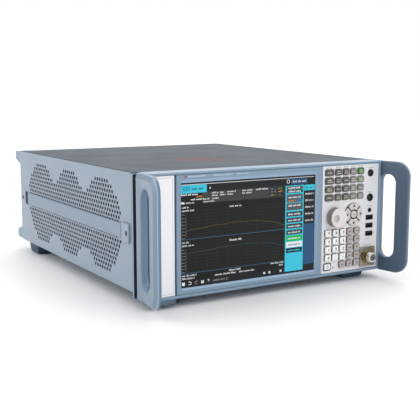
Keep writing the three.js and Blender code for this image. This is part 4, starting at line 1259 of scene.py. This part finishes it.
make_turned("ground_post", "steel", [(0, BACK - 1), (4.6, BACK - 1), (4.6, BACK + 1.2), (2.6, BACK + 1.4),
                                     (2.6, BACK + 6), (4.4, BACK + 6.2), (4.4, BACK + 10.6), (3.9, BACK + 11.2),
                                     (0, BACK + 11.2)], 178, 78, 36, slot="bare_steel")
rear_screws = Shape()
for x in (-196, -66, 66, 196):
    for z in (rear_z[0] + 7, rear_z[1] - 7):
        screw(rear_screws, x, z, BACK, 1, 2.7)
make("rear_panel_screws", rear_screws, ("steel", "black"), slot="bare_steel")
rear_print = Shape()
PRINT = [(x - width / 2, x + width / 2, z - height / 2 - 2.6, 1.6) for _, x, z, width, height in PORTS]
PRINT += [(x - 8, x + 8, z + 11, 1.8) for x, z in SOCKET_MIDDLES] + [(*inlet_x, inlet_z[0] - 4, 1.8)]
for line in PRINT:
    greek(rear_print, *line, BACK - 0.02, BACK + 0.05)
make("rear_panel_print", rear_print, "ink_dark", slot="zinc_sheet")

# ------------------------------------------------------------------ camera, light and floor
AZIMUTH, ELEVATION = math.radians(-31.07), math.radians(8.36)
back = Vector((math.sin(AZIMUTH) * math.cos(ELEVATION), -math.cos(AZIMUTH) * math.cos(ELEVATION),
               math.sin(ELEVATION)))
camera = bpy.data.objects.new("camera", bpy.data.cameras.new("camera"))
camera.data.lens, camera.data.sensor_width = 67.906, 36
camera.data.clip_start, camera.data.clip_end = 0.05, 60
camera.location = point(-662.87, -917.67, 276.92)
camera.rotation_mode = "QUATERNION"
camera.rotation_quaternion = (-back).to_track_quat("-Z", "Y")
scene.collection.objects.link(camera)
scene.camera = camera

# Even soft light from four sides, the same near and far: direction, width in degrees and strength.
SUNS = {"key_left": ((-0.9, 0.35, 0.45), 60, 1.25), "overhead": ((0.1, 0.05, 1.0), 110, 1.65),
        "front_right": ((0.35, -0.8, 0.45), 60, 0.8), "back_right": ((0.6, 0.75, 0.5), 60, 0.6)}
AMBIENT = 0.45
for name, (towards, angle, strength) in SUNS.items():
    data = bpy.data.lights.new(name, "SUN")
    data.energy, data.angle = strength, math.radians(angle)
    lamp = bpy.data.objects.new(name, data)
    lamp.rotation_mode = "QUATERNION"
    lamp.rotation_quaternion = Vector(towards).to_track_quat("Z", "Y")
    lamp.location = Vector(towards) * 3
    scene.collection.objects.link(lamp)

# The camera sees plain white behind the floor, and everything else is lit by a dimmer, warmer sky.
world = bpy.data.worlds.new("studio")
scene.world = world
world.use_nodes = True
tree = world.node_tree
tree.nodes.clear()
seen, ambient = (tree.nodes.new("ShaderNodeBackground") for _ in range(2))
seen.inputs[0].default_value, seen.inputs[1].default_value = (1, 1, 1, 1), 1.0
ambient.inputs[0].default_value, ambient.inputs[1].default_value = (1.0, 0.995, 0.985, 1), AMBIENT
path = tree.nodes.new("ShaderNodeLightPath")
choose = tree.nodes.new("ShaderNodeMixShader")
output = tree.nodes.new("ShaderNodeOutputWorld")
for source, socket in ((path.outputs["Is Camera Ray"], choose.inputs[0]), (ambient.outputs[0], choose.inputs[1]),
                       (seen.outputs[0], choose.inputs[2]), (choose.outputs[0], output.inputs[0])):
    tree.links.new(source, socket)

floor_mesh = bpy.data.meshes.new("studio_floor")
bm = bmesh.new()
bmesh.ops.create_circle(bm, cap_ends=True, segments=96, radius=9.0)
bm.to_mesh(floor_mesh)
bm.free()
floor = bpy.data.objects.new("studio_floor", floor_mesh)
floor.location = (0, 0, -0.0003)
scene.collection.objects.link(floor)
floor_finish = Finish("floor_paper", (246, 246, 247), 0.55, mottle=0.004, patch=2, relief=0)
floor_mesh.materials.append(floor_finish.material)

scene.view_settings.view_transform = "Standard"
scene.view_settings.look = "None"
